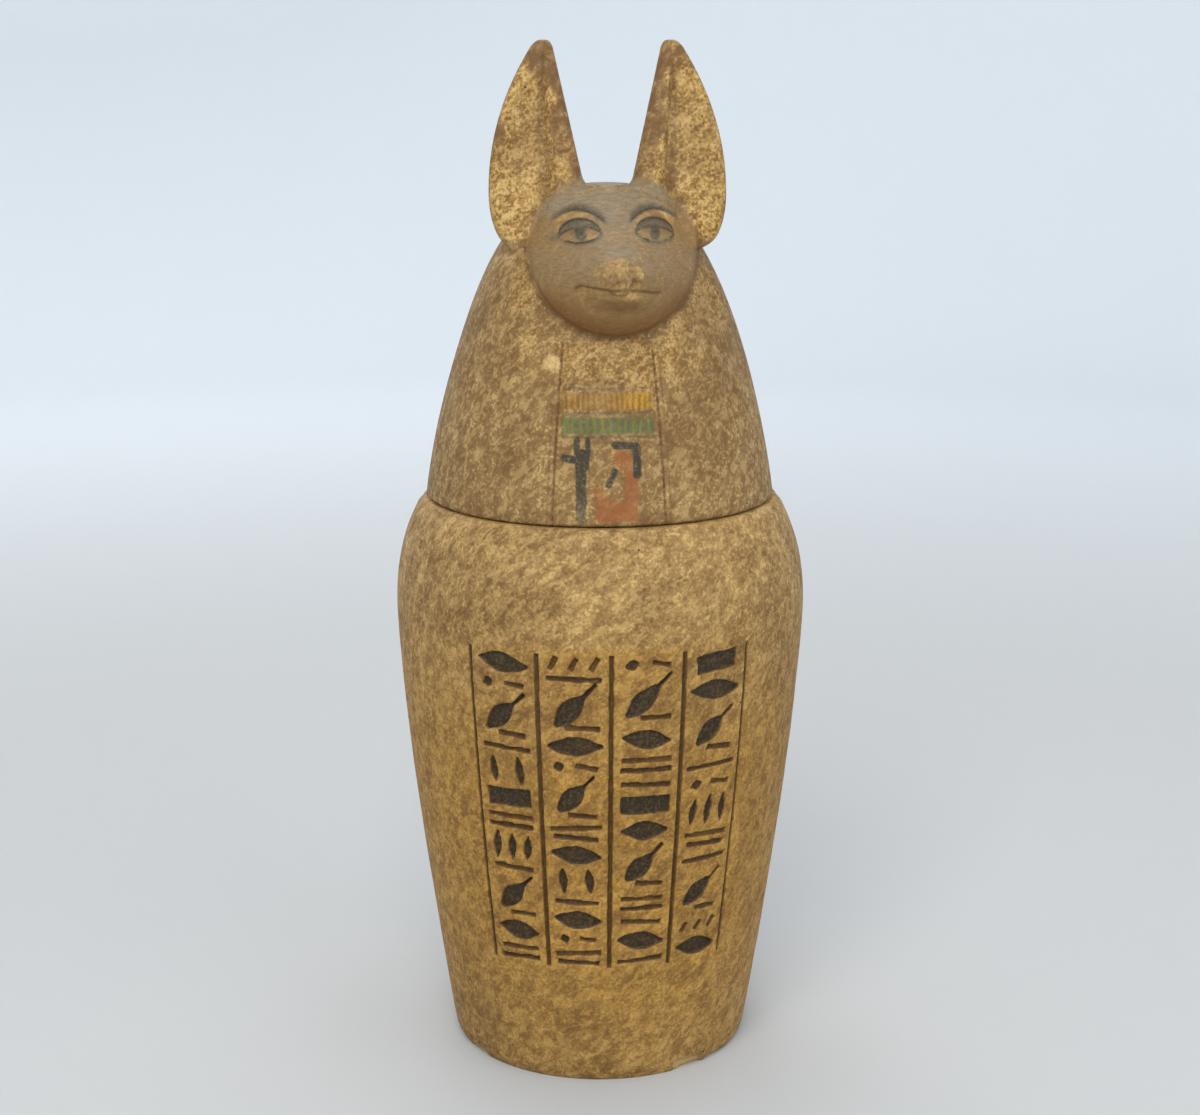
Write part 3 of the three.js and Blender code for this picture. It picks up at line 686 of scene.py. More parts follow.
def ear_field(points):
    side = np.where(points[:, 0] < HEAD_X, -1, 1)
    from_middle = (points[:, 0] - HEAD_X) * side
    y, z = points[:, 1], points[:, 2]
    inner, outer = ear_edges(z)
    up = np.clip((z - EAR_LOBE_Z) / (EAR_TIP_Z - EAR_LOBE_Z), 0, 1)
    tip_start, lobe_end = EAR_TIP_Z - EAR_TIP_ROUND, EAR_LOBE_Z + EAR_LOBE_ROUND
    in_tip = np.maximum((z - tip_start) / EAR_TIP_ROUND, 0)
    in_lobe = np.maximum((lobe_end - z) / EAR_LOBE_ROUND, 0)
    half = (outer - inner) / 2
    thick = (EAR_THICKNESS + (EAR_TIP_THICKNESS - EAR_THICKNESS) * up) / 2
    middle_y = EAR_LOBE_Y + (EAR_TIP_Y - EAR_LOBE_Y) * up
    off_x = from_middle - (inner + outer) / 2
    off_y = y - middle_y
    share = off_x / half / 2 + 0.5
    field = smooth(share, EAR_FOLD - 0.08, EAR_FOLD + 0.1) * smooth(1 - share, 0.0, 0.28)
    groove = EAR_GROOVE * bell(share - EAR_FOLD - 0.1, 0.05)
    ridge = EAR_RIDGE * bell(share - EAR_FOLD + 0.03, 0.06)
    hollow = EAR_SCOOP * (field + groove - ridge) * np.sin(np.pi * np.minimum(up * 1.1, 1))
    thick = np.where(off_y < 0, np.maximum(thick - hollow, 1.0), thick)
    # The cross-section is a flattened oval with blunt edges, drawn in towards the tip and the lobe.
    near = np.sqrt((off_x / half) ** 4 + (off_y / thick) ** 2 + in_tip**2 + in_lobe**2)
    steep = np.sqrt(
        (2 * off_x**3 / half**4) ** 2
        + (off_y / thick**2) ** 2
        + (in_tip / EAR_TIP_ROUND) ** 2
        + (in_lobe / EAR_LOBE_ROUND) ** 2
    )
    return near * (near - 1) / np.maximum(steep, 1e-3)


def within(points, low, high):
    return np.all((points > low) & (points < high), axis=1)


def lid_field(points):
    value = wig_field(points)
    near_bib = within(points, *BIB_BOX)
    near_bib &= np.abs(value) < 3
    if near_bib.any():
        side, rules = bib_cuts(points[near_bib])
        value[near_bib] += BIB_DEPTH * np.maximum(side, rules)
    value += LID_SWELL * lattice_noise(points, 30.0, 1)
    near_face = within(points, *FACE_BOX)
    if near_face.any():
        spot = points[near_face]
        blend = FACE_FILLET + BROW_FILLET * smooth(spot[:, 2], FACE_Z + 3, FACE_Z + FACE_HIGH)
        value[near_face] = joined(value[near_face], face_field(spot), blend)
    near_ear = within(points, *EAR_BOX)
    if near_ear.any():
        spot = points[near_ear]
        blend = EAR_FILLET + CROWN_FILLET * smooth(spot[:, 2], 281, 289)
        value[near_ear] = joined(value[near_ear], ear_field(spot), blend)
    near_plug = points[:, 2] < JAR_HEIGHT + 14
    value[near_plug] = np.minimum(value[near_plug], plug_field(points[near_plug]))
    return value


def field_values(field, axes):
    """The field at each point of a grid, worked out one layer at a time."""
    size = [len(axis) for axis in axes]
    values = np.empty(size)
    for i, x in enumerate(axes[0]):
        y, z = np.meshgrid(axes[1], axes[2], indexing="ij")
        layer = np.stack([np.full(y.size, x), y.ravel(), z.ravel()], axis=1)
        values[i] = field(layer).reshape(size[1], size[2])
    return values


def crossing_points(values, cells):
    """For each cell, the mean of the places where its edges cross 0, in cells."""
    total = np.zeros((len(cells), 3))
    hits = np.zeros(len(cells))
    for a in CELL_CORNERS:
        for axis in range(3):
            if a[axis]:
                continue
            b = tuple(a[i] + (i == axis) for i in range(3))
            value_a = values[tuple((cells + a).T)]
            value_b = values[tuple((cells + b).T)]
            crossed = (value_a < 0) != (value_b < 0)
            share = value_a[crossed] / (value_a[crossed] - value_b[crossed])
            spot = np.array(a, float) + share[:, None] * (np.array(b) - np.array(a))
            total[crossed] += spot
            hits[crossed] += 1
    return cells + total / hits[:, None]


def crossing_quads(inside, index):
    """A quad around each grid edge that crosses the surface, between its four cells' points."""
    quads = []
    for axis in range(3):
        other = [(axis + 1) % 3, (axis + 2) % 3]
        first, second = [slice(None)] * 3, [slice(None)] * 3
        first[axis], second[axis] = slice(0, -1), slice(1, None)
        edges = np.argwhere(inside[tuple(first)] != inside[tuple(second)])
        edges = edges[np.all(edges[:, other] > 0, axis=1)]
        starts_inside = inside[tuple(edges.T)]
        ring = []
        for p, q in ((0, 0), (-1, 0), (-1, -1), (0, -1)):
            cell = edges.copy()
            cell[:, other[0]] += p
            cell[:, other[1]] += q
            ring.append(index[tuple(cell.T)])
        ring = np.stack(ring, axis=1)
        ring[~starts_inside] = ring[~starts_inside][:, ::-1]
        quads.append(ring)
    return np.concatenate(quads)


def field_surface(field, low, high, step):
    """The field's zero surface as one point for each crossed cell, joined by quads."""
    values = field_values(field, [np.arange(low[i], high[i] + step, step) for i in range(3)])
    inside = values < 0
    size = [length - 1 for length in values.shape]
    count = sum(
        inside[a : size[0] + a, b : size[1] + b, c : size[2] + c].astype(int)
        for a, b, c in CELL_CORNERS
    )
    cells = np.argwhere((count > 0) & (count < 8))
    index = -np.ones(size, int)
    index[tuple(cells.T)] = np.arange(len(cells))
    points = crossing_points(values, cells) * step + np.array(low)
    return points, crossing_quads(inside, index)


def settle(field, points, rounds=3, step=0.04):
    """Points moved onto the field's zero surface."""
    points = points.copy()
    for _ in range(rounds):
        value = field(points)
        slope = np.empty_like(points)
        for axis in range(3):
            shift = np.zeros(3)
            shift[axis] = step
            slope[:, axis] = (field(points + shift) - field(points - shift)) / (2 * step)
        length2 = np.maximum((slope**2).sum(axis=1), 0.25)
        move = np.clip(value / length2, -0.6, 0.6)
        points -= slope * move[:, None]
    return points


def refined(field, points, faces, region):
    """The mesh with each face in the region cut in four, and its new points on the surface."""
    mesh = bpy.data.meshes.new("refining")
    mesh.from_pydata(points.tolist(), [], faces)
    grown = bmesh.new()
    grown.from_mesh(mesh)
    bpy.data.meshes.remove(mesh)
    centres = np.array([face.calc_center_median() for face in grown.faces])
    chosen = region(centres)
    edges = {edge for face, use in zip(grown.faces, chosen) if use for edge in face.edges}
    edges = sorted(edges, key=lambda edge: edge.index)
    bmesh.ops.subdivide_edges(grown, edges=edges, cuts=1, use_grid_fill=True)
    grown.verts.ensure_lookup_table()
    points = np.array([vertex.co for vertex in grown.verts])
    faces = [[vertex.index for vertex in face.verts] for face in grown.faces]
    grown.free()
    close = region(points, 1.5)
    points[close] = settle(field, points[close], 2)
    return points, faces


def near_face_front(points, margin=0.0):
    across, up = face_place(points)
    grow = 1 + margin / FACE_LOW
    outline = (across / (FACE_HALF_WIDTH + 1)) ** 2 + (up / (FACE_LOW + 1)) ** 2
    return (outline < grow**2) & (points[:, 1] < -8)


def near_ear_edges(points, margin=0.0):
    """On the ears, but not where the face front is refined already."""
    off_head = (points[:, 2] > EAR_LOBE_Z - 1 - margin) & (ear_field(points) < 1.5 + margin)
    return off_head & ~near_face_front(points)


def near_face_detail(points, margin=0.0):
    across, up = face_place(points)
    eyes = (np.abs(across) < 24 + margin) & (up > 1 - margin) & (up < 16 + margin)
    mouth = (np.abs(across) < 15 + margin) & (up > -12 - margin) & (up < 3 + margin)
    return (eyes | mouth) & (points[:, 1] < -12)


def near_bib_front(points, margin=0.0):
    angle = np.degrees(np.arctan2(points[:, 0], -points[:, 1]))
    z = points[:, 2]
    high = BIB_TOP_Z + 2 + margin
    beside = np.abs(angle) < math.degrees(BIB_HALF_ANGLE) + 2 + margin
    return beside & (z > JAR_HEIGHT + 1 - margin) & (z < high)


def near_bib_bands(points, margin=0.0):
    z = points[:, 2]
    bands = (z > BIB_RULES[2] - 1 - margin) & (z < BIB_RULES[0] + 3 + margin)
    figures = (z > JAR_HEIGHT + 1.5 - margin) & (z < BIB_RULES[2])
    figures &= np.abs(points[:, 0]) < 14 + margin
    return near_bib_front(points, margin) & (bands | figures)


# Paint of the lid, as shares of cover


def most(*values):
    return np.maximum.reduce(values)


def face_cover(points):
    """How far out on the face points are, how much face, and how much skin of face or crown."""
    x, y, z = points.T
    across, up = face_place(points)
    half_height = np.where(up < 0, FACE_LOW, FACE_HIGH + 6)
    near = np.hypot(across / FACE_HALF_WIDTH, up / half_height)
    face = smooth(1.04 - near, 0, 0.06) * smooth(-y, 12, 17)
    crown = smooth(z, 282, 288) * smooth(296.5 - z, 0, 3) * smooth(17 - np.abs(x - 2.2), 0, 8)
    return near, face, most(face, crown * smooth(-y, -20, -5))


def eye_paint(across, up, ragged, worn):
    """Paints of the eyes and brows."""
    along, over, height, share = eye_place(across, up)
    above, band = over - height, lid_band_height(share)
    opened = smooth(height - np.abs(over), -0.1, 0.25) * (share < 1)
    there = smooth(1.12 - share, 0, 0.12)
    lid_band = smooth(above, -0.3, 0.15) * smooth(band - above, -0.2, 0.3) * there
    below = bell(over + height + 0.3, 0.65) * there
    crease = bell(above - band - 0.15, 0.42) * there
    edge = 0.8 * bell(above, 0.32) * there * smooth(worn, -0.7, 0.2)
    lashes = 0.9 * bell(over + height, 0.3) * there * smooth(ragged, -0.2, 0.3)
    iris = opened * smooth(2.1 - np.hypot(along + 0.2, (over - 0.8) * 0.75), -0.1, 0.5)
    white = opened * (1 - iris)
    pupil = 0.6 * opened * smooth(1.3 - np.hypot(along, over - 1.3), -0.4, 0.5)
    off, brow_there = brow_distance(across, up)
    inward = smooth(17 - np.abs(across - EYE_MIDDLE), -2, 5)
    brow = smooth(off, -0.9, -0.3) * smooth(1.3 + 0.9 * inward - off, 0, 1.6) * brow_there
    brow_edge = 0.8 * bell(off + 0.3, 0.5) * brow_there * inward
    tail = bell(over + 0.1 * (along - 6), 0.8) * smooth(along, 5.5, 7) * smooth(11.5 - along, 0, 3)
    tail = tail * (across < 0)
    dirt = 0.34 * opened * smooth(ragged, -0.6, 0.5)
    slate = most(0.95 * lid_band, 0.8 * below, iris, brow * 0.9, tail * 0.6, dirt)
    ridge = smooth(above - band, 0.3, 0.8) * smooth(-off, 0.4, 0.9) * smooth(1.2 - share, 0, 0.3)
    # The orange on the brow ridge is a patchy tint. On the upper part of each eye's white it is
    # painted shade under the upper lid.
    tint_and_shade = most(ridge * smooth(ragged, -0.1, 0.4), white * smooth(over, -1.2, 1.2))
    return {
        "slate": slate * smooth(worn, -1.5, -0.7),
        "ink": most(crease, edge, lashes, pupil, brow_edge),
        "gold": most(0.75 * ridge, 0.3 * white),
        "orange_and_shade": 0.6 * tint_and_shade,
    }


def face_paint(points, ragged, worn, near, face, skin):
    """Paints of the face, with the greyer skin on its upper part and the broken nose."""
    across, up = face_place(points)
    eyes = eye_paint(across, up, ragged, worn)
    nose = nose_share(across, up, ragged) * face
    # broken darkens the nose pad's lowest spots as well as its cracks, and gilt_nose gilds its
    # highest spots. Both follow nearly the same noise that raises the pad's bumps.
    broken = nose * most(nose_cracks(ragged, worn), smooth(-ragged, 0.3, 0.9))
    # Painted shadow: groove is a dark line just outside the face's lower outline, where its proud
    # edge shades the wig.
    groove = bell(near - 1.03, 0.035) * smooth(-points[:, 1], 12, 17) * smooth(-up, -8, 0)
    middle = bell(across, 17) * smooth(up + 0.25 * np.abs(across), -10, 4)
    off, there = mouth_distance(across, up)
    mouth = 0.8 * bell(off, 0.38) * there * face * smooth(worn, -1.4, -0.1)
    # Painted highlight: gold along the upper rim of the lower lip's bulge.
    lip_highlight = 0.85 * bell(off + 1.8, 1.0) * bell(across - 2, 7) * smooth(worn, -0.9, 0.3)
    # Partly the chin's own orange-brown, partly painted shade that deepens towards its underside.
    chin = 0.95 * smooth(near, 0.66, 0.95) * smooth(-up, 6, 15)
    # Painted shadow in the fold under the lower lip.
    fold = 0.6 * bell(off + 6.4, 1.6) * bell(across - 1, 8)
    gilt_nose = 0.9 * nose * smooth(ragged + 0.6 * worn, -0.8, 0.6)
    return {
        "slate": eyes["slate"] * face,
        "ink": eyes["ink"] * face,
        "line": most(mouth, 0.7 * groove, 0.5 * broken),
        "calm": skin * (1 - 0.5 * nose),
        "grey": most(smooth(up, 8, 13), middle),
        "gold": most(gilt_nose, eyes["gold"] * face, lip_highlight * face),
        "orange_and_shade": most(chin, fold, eyes["orange_and_shade"]) * face * (1 - nose),
    }


def ear_paint(points, ragged, worn, patchy, skin):
    """Paints of the ears' fronts: gold leaf outside the fold, dull brown within it."""
    x, y, z = points.T
    ear = smooth(z, 274, 278) * smooth(-ear_field(points), -1.2, -0.2)
    front = ear * smooth(-(y - EAR_LOBE_Y - (z - EAR_LOBE_Z) * EAR_LEAN), 0, 2) * (1 - skin)
    inner, outer = ear_edges(z)
    share = (np.abs(x - HEAD_X) - inner) / np.maximum(outer - inner, 1)
    # The dark line down each ear's groove, with the dull smear beside it, is partly a painted line
    # and partly painted shade in the groove.
    line = bell(share - EAR_FOLD - 0.1, 0.055) * front * smooth(worn, -1.2, 0)
    smear = bell(share - EAR_FOLD - 0.14, 0.12) * smooth(patchy + 0.6, 0.6, -0.4)
    gilt = smooth(share + 0.16 * worn + 0.05 * ragged, 0.2, 0.36) * (1 - 0.7 * smear)
    gilt = gilt * smooth(patchy - smooth(z, 322, 336), -1.1, -0.3)
    return {
        "leaf": 0.85 * front * gilt * (1 - 0.8 * line),
        "dull": front * (1 - gilt),
        "line": 0.9 * line,
    }


def stripes(sway, step, low, high):
    return smooth(np.cos(sway * 2 * math.pi / step), low, high)


def bib_paint(points, ragged, worn, patchy, face):
    """Paints of the bib's bands and figures, and the leaf left on the chest around it."""
    angle, across, z = bib_place(points)
    front = (points[:, 1] < -20) & (z < BIB_TOP_Z + 1)
    half_width = BIB_HALF_ANGLE * wig_radius(z)
    inside = (np.abs(angle) < BIB_HALF_ANGLE) & front
    fade = smooth(worn, -1.3, -0.4) * inside
    banded = smooth(half_width - np.abs(across), 1.2, 2.4) * fade
    top, middle, low = BIB_RULES
    rule = most(*[bell(z - height - 0.2, 0.65) for height in BIB_RULES])
    in_yellow = smooth(z - middle, 0.9, 1.6) * smooth(top - z, 0.7, 1.4) * banded
    in_green = smooth(z - low, 0.8, 1.5) * smooth(middle - z, 0.8, 1.4) * banded
    sway = across + 0.35 * ragged
    yellow = stripes(sway, YELLOW_STEP, -0.35, 0.5)
    green = stripes(sway - 0.6, GREEN_STEP, -0.3, 0.6)
    glint = stripes(sway - 0.6, GREEN_STEP, 0.6, 1) * smooth(ragged, -0.5, 0.3)
    bright = 0.35 + 0.6 * smooth(across, 0, 9)
    gaps = in_yellow * (1 - 0.3 * yellow)
    staff, figure, hair = bib_shapes(across, z, ragged)
    dark = most(staff, hair)
    chest = front * smooth(z, 233, 237) * smooth(half_width + 3 - np.abs(across + 1), -2, 3)
    from_face = np.hypot(points[:, 0] - FACE_X, z - FACE_Z + 4)
    sides = smooth(42 - from_face + 6 * patchy, -3, 6) * smooth(-points[:, 1], 5, 18)
    return {
        "slate": most(0.4 * rule * banded, 0.6 * in_green * (1 - green), 0.95 * dark * inside),
        "ink": 0.75 * most(staff * smooth(z, 192, 204), hair) * fade,
        "line": 0.2 * bib_cuts(points)[1] * inside,
        "bare": bib_chip(across, z, ragged) * front,
        "bib_side": np.clip(np.abs(across) - half_width, -SIDE_REACH, SIDE_REACH) + SIDE_REACH,
        "leaf": most(0.45 * chest, 0.5 * sides * smooth(patchy, -0.3, 0.5)) * (1 - face),
        "dull": gaps,
        "orange_and_shade": 0.5 * gaps,
        "yellow": most(in_yellow * (0.3 + 0.7 * yellow) * bright, 0.75 * in_green * glint),
        "green": in_green * (0.62 + 0.38 * green),
        "red": figure * (0.45 + 0.55 * fade) * inside,
    }


def lid_paint(points):
    """Shares of each paint at the lid's points."""
    ragged = lattice_noise(points, 3.2, 2)
    worn = lattice_noise(points + 40, 6.0, 3)
    patchy = lattice_noise(points * (1, 1, 0.45) + 90, 7.0, 3)
    near, face, skin = face_cover(points)
    paint = {}
    for part in (
        face_paint(points, ragged, worn, near, face, skin),
        ear_paint(points, ragged, worn, patchy, skin),
        bib_paint(points, ragged, worn, patchy, face),
    ):
        for key, share in part.items():
            paint[key] = np.maximum(paint.get(key, 0), share)
    return paint


def capsule(across, z, start, end, radius):
    """How far points are outside a round-ended stroke from start to end."""
    da, dz = end[0] - start[0], end[1] - start[1]
    t = ((across - start[0]) * da + (z - start[1]) * dz) / (da * da + dz * dz)
    t = np.clip(t, 0, 1)
    return np.hypot(across - start[0] - t * da, z - start[1] - t * dz) - radius


def bib_shapes(across, z, ragged):
    """The painted staff, seated figure and hair below the bands, as shares of cover."""

    def cover(strokes, rough=0.3):
        nearest = np.minimum.reduce([capsule(across, z, *stroke) for stroke in strokes])
        return smooth(-nearest - rough * ragged, -0.25, 0.3)

    staff = cover(
        [
            ((-8.8, 211), (-9.0, 193), 1.6),
            ((-8.2, 212.5), (-8.4, 209.5), 2.2),
            ((-14.2, 211.6), (-9.6, 211.0), 1.2),
            ((-10.0, 217), (-9.9, 213), 1.0),
            ((-6.5, 217), (-6.6, 213), 1.0),
        ]
    )
    figure = cover(
        [
            ((4.1, 211), (5.6, 210.5), 2.9),
            ((6.6, 207.5), (6.8, 195), 2.3),
            ((6.6, 194.2), (-2.2, 194.2), 2.6),
            ((-3.2, 201), (-2.4, 195), 1.6),
            ((-2.6, 199.5), (1.8, 197), 1.5),
        ],
        rough=0.75,
    )
    hair = cover(
        [
            ((2.0, 215.6), (8.4, 215.2), 1.1),
            ((8.6, 214.6), (8.7, 206.6), 1.3),
            ((1.9, 207.8), (-0.2, 203.4), 0.95),
        ]
    )
    return staff, figure * (1 - hair), hair


def bib_chip(across, z, ragged):
    """The pale loss beside the bib's left line."""
    out = np.hypot((across + 17.6) / 2.6, (z - 239.5) / 4.6)
    return smooth(1 - out + 0.5 * ragged, 0, 0.25)


def build_lid():
    points, quads = field_surface(lid_field, *LID_BOX, FIELD_STEP)
    points = settle(lid_field, points)
    faces = quads.tolist()
    regions = (near_face_front, near_ear_edges, near_bib_front, near_face_detail, near_bib_bands)
    for region in regions:
        points, faces = refined(lid_field, points, faces, region)
    return new_piece("lid_carved", points, faces, "lid", lid_paint(points))


# Materials


class Nodes:
    """Short calls for building a material's nodes."""

    def __init__(self, name):
        self.material = bpy.data.materials.new(name)
        self.material.use_nodes = True
        self.tree = self.material.node_tree
        self.shader = self.tree.nodes["Principled BSDF"].inputs

    def node(self, kind, inputs=(), **settings):
        made = self.tree.nodes.new("ShaderNode" + kind)
        for key, value in settings.items():
            setattr(made, key, value)
        for key, value in dict(inputs).items():
            self.put(made.inputs[key], value)
        return made

    def put(self, socket, value):
        if isinstance(value, bpy.types.NodeSocket):
            self.tree.links.new(value, socket)
        else:
            socket.default_value = value

    def math(self, operation, a, b=0.0):
        return self.node("Math", {0: a, 1: b}, operation=operation).outputs[0]

    def times(self, a, b):
        return self.math("MULTIPLY", a, b)

    def most(self, a, b):
        return self.math("MAXIMUM", a, b)

    def mix(self, share, a, b):
        return self.node("Mix", {0: share, 6: a, 7: b}, data_type="RGBA").outputs[2]

    def sum(self, *weighted):
        """The sum of values, each given with its weight."""
        total = 0.0
        for value, weight in weighted:
            inputs = {0: value, 1: weight, 2: total}
            total = self.node("Math", inputs, operation="MULTIPLY_ADD").outputs[0]
        return total

    def span(self, value, low, high, to_low=0.0, to_high=1.0):
        """A value eased from to_low at low to to_high at high."""
        inputs = {0: value, 1: low, 2: high, 3: to_low, 4: to_high}
        return self.node("MapRange", inputs, interpolation_type="SMOOTHSTEP").outputs[0]

    def attribute(self, name):
        return self.node("Attribute", attribute_name=name).outputs["Fac"]

    def coat(self, colour, mask, pigment, wear):
        """The colour under a pigment, laid where the mask says and worn as the span in wear."""
        return self.mix(self.times(self.attribute(mask), self.span(*wear)), colour, pigment)

    def noise(self, where, scale, detail=4.0, roughness=0.55, distortion=0.0):
        inputs = {
            "Vector": where,
            "Scale": scale,
            "Detail": detail,
            "Roughness": roughness,
            "Distortion": distortion,
        }
        return self.node("TexNoise", inputs).outputs[0]

    def turned(self, where, rotation=(0, 0, 0), scale=(1, 1, 1)):
        inputs = {"Vector": where, "Rotation": rotation, "Scale": scale}
        return self.node("Mapping", inputs, vector_type="TEXTURE").outputs[0]


def linear(red, green, blue):
    """A colour given as seen, in 0 to 255, as the shader's linear values."""
    seen = np.array([red, green, blue]) / 255
    value = np.where(seen <= 0.04045, seen / 12.92, ((seen + 0.055) / 1.055) ** 2.4)
    return (*value.tolist(), 1.0)


BROWN = linear(134, 101, 57)
DARK_BROWN = linear(112, 81, 44)
GOLD_BROWN = linear(124, 87, 36)
OCHRE = linear(180, 144, 86)
PALE_OCHRE = linear(209, 175, 112)
GOLD = linear(180, 134, 55)
PALE_GOLD = linear(200, 156, 72)
GREY_BROWN = linear(130, 106, 75)
DULL_BROWN = linear(112, 80, 48)
FACE_BROWN = linear(146, 115, 70)
FACE_GREY = linear(138, 124, 100)
INK = linear(44, 38, 26)
SLATE = linear(86, 80, 64)
# LINE_BROWN also paints the shadow under the face's lower edge and shade in the ears' grooves.
LINE_BROWN = linear(84, 54, 24)
# ORANGE is also painted shade: on the chin's underside, in the fold under the lower lip and at the
# top of each eye's white.
ORANGE = linear(118, 76, 30)
YELLOW = linear(188, 141, 34)
GREEN = linear(94, 112, 56)
RED = linear(148, 82, 38)
BARE_STONE = linear(206, 172, 114)
PIT = linear(44, 30, 16)
TABLE_GREY = linear(200, 201, 201)
WALL_BLUE = linear(234, 239, 243)


def stone_textures(n, where):
    """The noises that the stone's paint and wear share."""
    slanted = n.turned(where, rotation=(0.1, 0.9, 0.2), scale=(1.0, 1.0, 1.8))
    cloud = n.noise(where, 28, 3)
    warp = n.noise(where, 110, 2)
    dabs = n.noise(slanted, 300, 4, 0.62, 0.35)
    flecks = n.noise(where, 1000, 3, 0.62, 0.2)
    strands = n.noise(slanted, 430, 2, 0.5, 0.7)
    mass = n.sum((dabs, 0.44), (flecks, 0.38), (warp, 0.18))
    specks = n.sum((flecks, 0.6), (dabs, 0.4))
    return SimpleNamespace(
        cloud=cloud, warp=warp, dabs=dabs, flecks=flecks, strands=strands, mass=mass, specks=specks
    )


def washed(n, tex, rise, cover, shade):
    """Brown ground dabbed with ochre, golder low down and around the panel."""
    pale = n.most(n.span(tex.specks, 0.54, 0.61, 0, 0.5), n.span(tex.strands, 0.53, 0.6, 0, 0.3))
    dark = n.most(n.span(tex.specks, 0.45, 0.38, 0, 0.45), n.span(tex.strands, 0.45, 0.38, 0, 0.25))
    sparks = n.times(n.span(tex.mass, 0.53, 0.64), n.span(tex.cloud, 0.35, 0.6, 0.4, 1.0))
    warmth = n.times(n.span(rise, 0.18, 0.1, 0.0, 0.85), n.span(rise, -0.05, 0.06))
    warmth = n.most(warmth, n.times(n.attribute("warm"), 0.7))
    ground = n.mix(n.span(tex.cloud, 0.35, 0.65), DARK_BROWN, BROWN)
    ground = n.mix(shade, n.mix(warmth, ground, GOLD_BROWN), DARK_BROWN)
    paint = n.mix(warmth, n.mix(n.times(sparks, 0.8), OCHRE, PALE_OCHRE), GOLD)
    paint = n.mix(shade, paint, n.mix(cover, DARK_BROWN, GREY_BROWN))
    colour = n.mix(n.times(cover, 0.9), ground, paint)
    colour = n.mix(pale, colour, n.mix(warmth, PALE_OCHRE, PALE_GOLD))
    colour = n.mix(dark, colour, DARK_BROWN)
    colour = n.mix(n.span(tex.cloud, 0.55, 0.36, 0.0, 0.15 + 0.5 * shade), colour, DARK_BROWN)
    return n.mix(n.times(n.attribute("stain"), 0.4), colour, DARK_BROWN)


def skin_colour(n, tex, where):
    """The face's smoother paint, grey over brown, with fine strokes across."""
    brushed = n.noise(n.turned(where, scale=(5, 5, 1)), 1700, 3, 0.6, 0.4)
    skin = n.mix(n.attribute("grey"), FACE_BROWN, FACE_GREY)
    skin = n.mix(n.span(brushed, 0.62, 0.35, 0.0, 0.5), skin, DARK_BROWN)
    skin = n.mix(n.span(tex.warp, 0.42, 0.62, 0.0, 0.3), skin, BROWN)
    return n.mix(n.span(tex.mass, 0.5, 0.64, 0.0, 0.4), skin, OCHRE)


def bib_side_line(n, tex, rise):
    """Share of the fine double line down each side of the bib."""
    beside = n.math("SUBTRACT", n.attribute("bib_side"), SIDE_REACH)
    second = n.math("ABSOLUTE", n.math("SUBTRACT", beside, SECOND_LINE_OFF))
    line = n.span(n.math("ABSOLUTE", beside), 0.6, 0.25)
    line = n.most(line, n.span(second, 0.5, 0.2, 0.0, 0.45))
    line = n.times(line, n.span(rise, (BIB_TOP_Z + 1) * MM, BIB_TOP_Z * MM))
    return n.times(line, n.span(tex.dabs, 0.36, 0.5, 0.35, 0.9))


def painted(n, tex, colour, skin):
    """The colour under the lid's paints and the bare stone, each worn in its own way."""
    leaf = n.mix(n.span(tex.specks, 0.46, 0.6), GOLD, PALE_OCHRE)
    gold = n.mix(n.span(tex.mass, 0.5, 0.62), OCHRE, PALE_OCHRE)
    for mask, pigment, wear in (
        ("calm", skin, (tex.dabs, 0.75, 0.4, 0.8, 1.0)),
        ("dull", DULL_BROWN, (tex.dabs, 0.62, 0.36, 0.35, 0.9)),
        ("leaf", leaf, (tex.specks, 0.41, 0.55, 0.0, 0.85)),
        # The gold mask also lays a painted highlight along the lower lip's upper rim.
        ("gold", gold, (tex.mass, 0.4, 0.58, 0.3, 0.9)),
        # The orange mask also lays painted shade under the chin, below the lower lip and at the top
        # of each eye's white.
        ("orange_and_shade", ORANGE, (tex.flecks, 0.38, 0.56, 0.45, 0.9)),
        ("yellow", YELLOW, (tex.flecks, 0.38, 0.56, 0.55, 1.0)),
        ("green", GREEN, (tex.flecks, 0.38, 0.56, 0.45, 0.95)),
        ("red", RED, (tex.flecks, 0.38, 0.56, 0.28, 0.85)),
        ("bare", BARE_STONE, (tex.flecks, 0.38, 0.56, 0.5, 0.95)),
    ):
        colour = n.coat(colour, mask, pigment, wear)
    return colour


def lined(n, tex, colour, rise):
    """The colour under the strokes' filling, the fine lines and the dark paints."""
    cut = n.math("ADD", n.attribute("cut"), n.times(tex.flecks, 0.16))
    colour = n.mix(n.times(n.span(cut, 0.5, 0.62), 0.72), colour, LINE_BROWN)
    inked = n.times(n.span(cut, 0.6, 0.8), n.attribute("ink_fill"))
    inked = n.times(inked, n.span(tex.flecks, 0.64, 0.44, 0.6, 0.97))
    colour = n.mix(inked, colour, INK)
    # The line mask also carries painted shadow under the face's lower edge and painted shade in the
    # ears' grooves.
    line = n.most(n.attribute("line"), bib_side_line(n, tex, rise))
    line = n.times(line, n.span(tex.flecks, 0.3, 0.6, 0.95, 0.65))
    colour = n.mix(line, colour, LINE_BROWN)
    colour = n.coat(colour, "slate", SLATE, (tex.flecks, 0.62, 0.42, 0.65, 1.0))
    return n.coat(colour, "ink", INK, (tex.flecks, 0.66, 0.5, 0.5, 0.95))


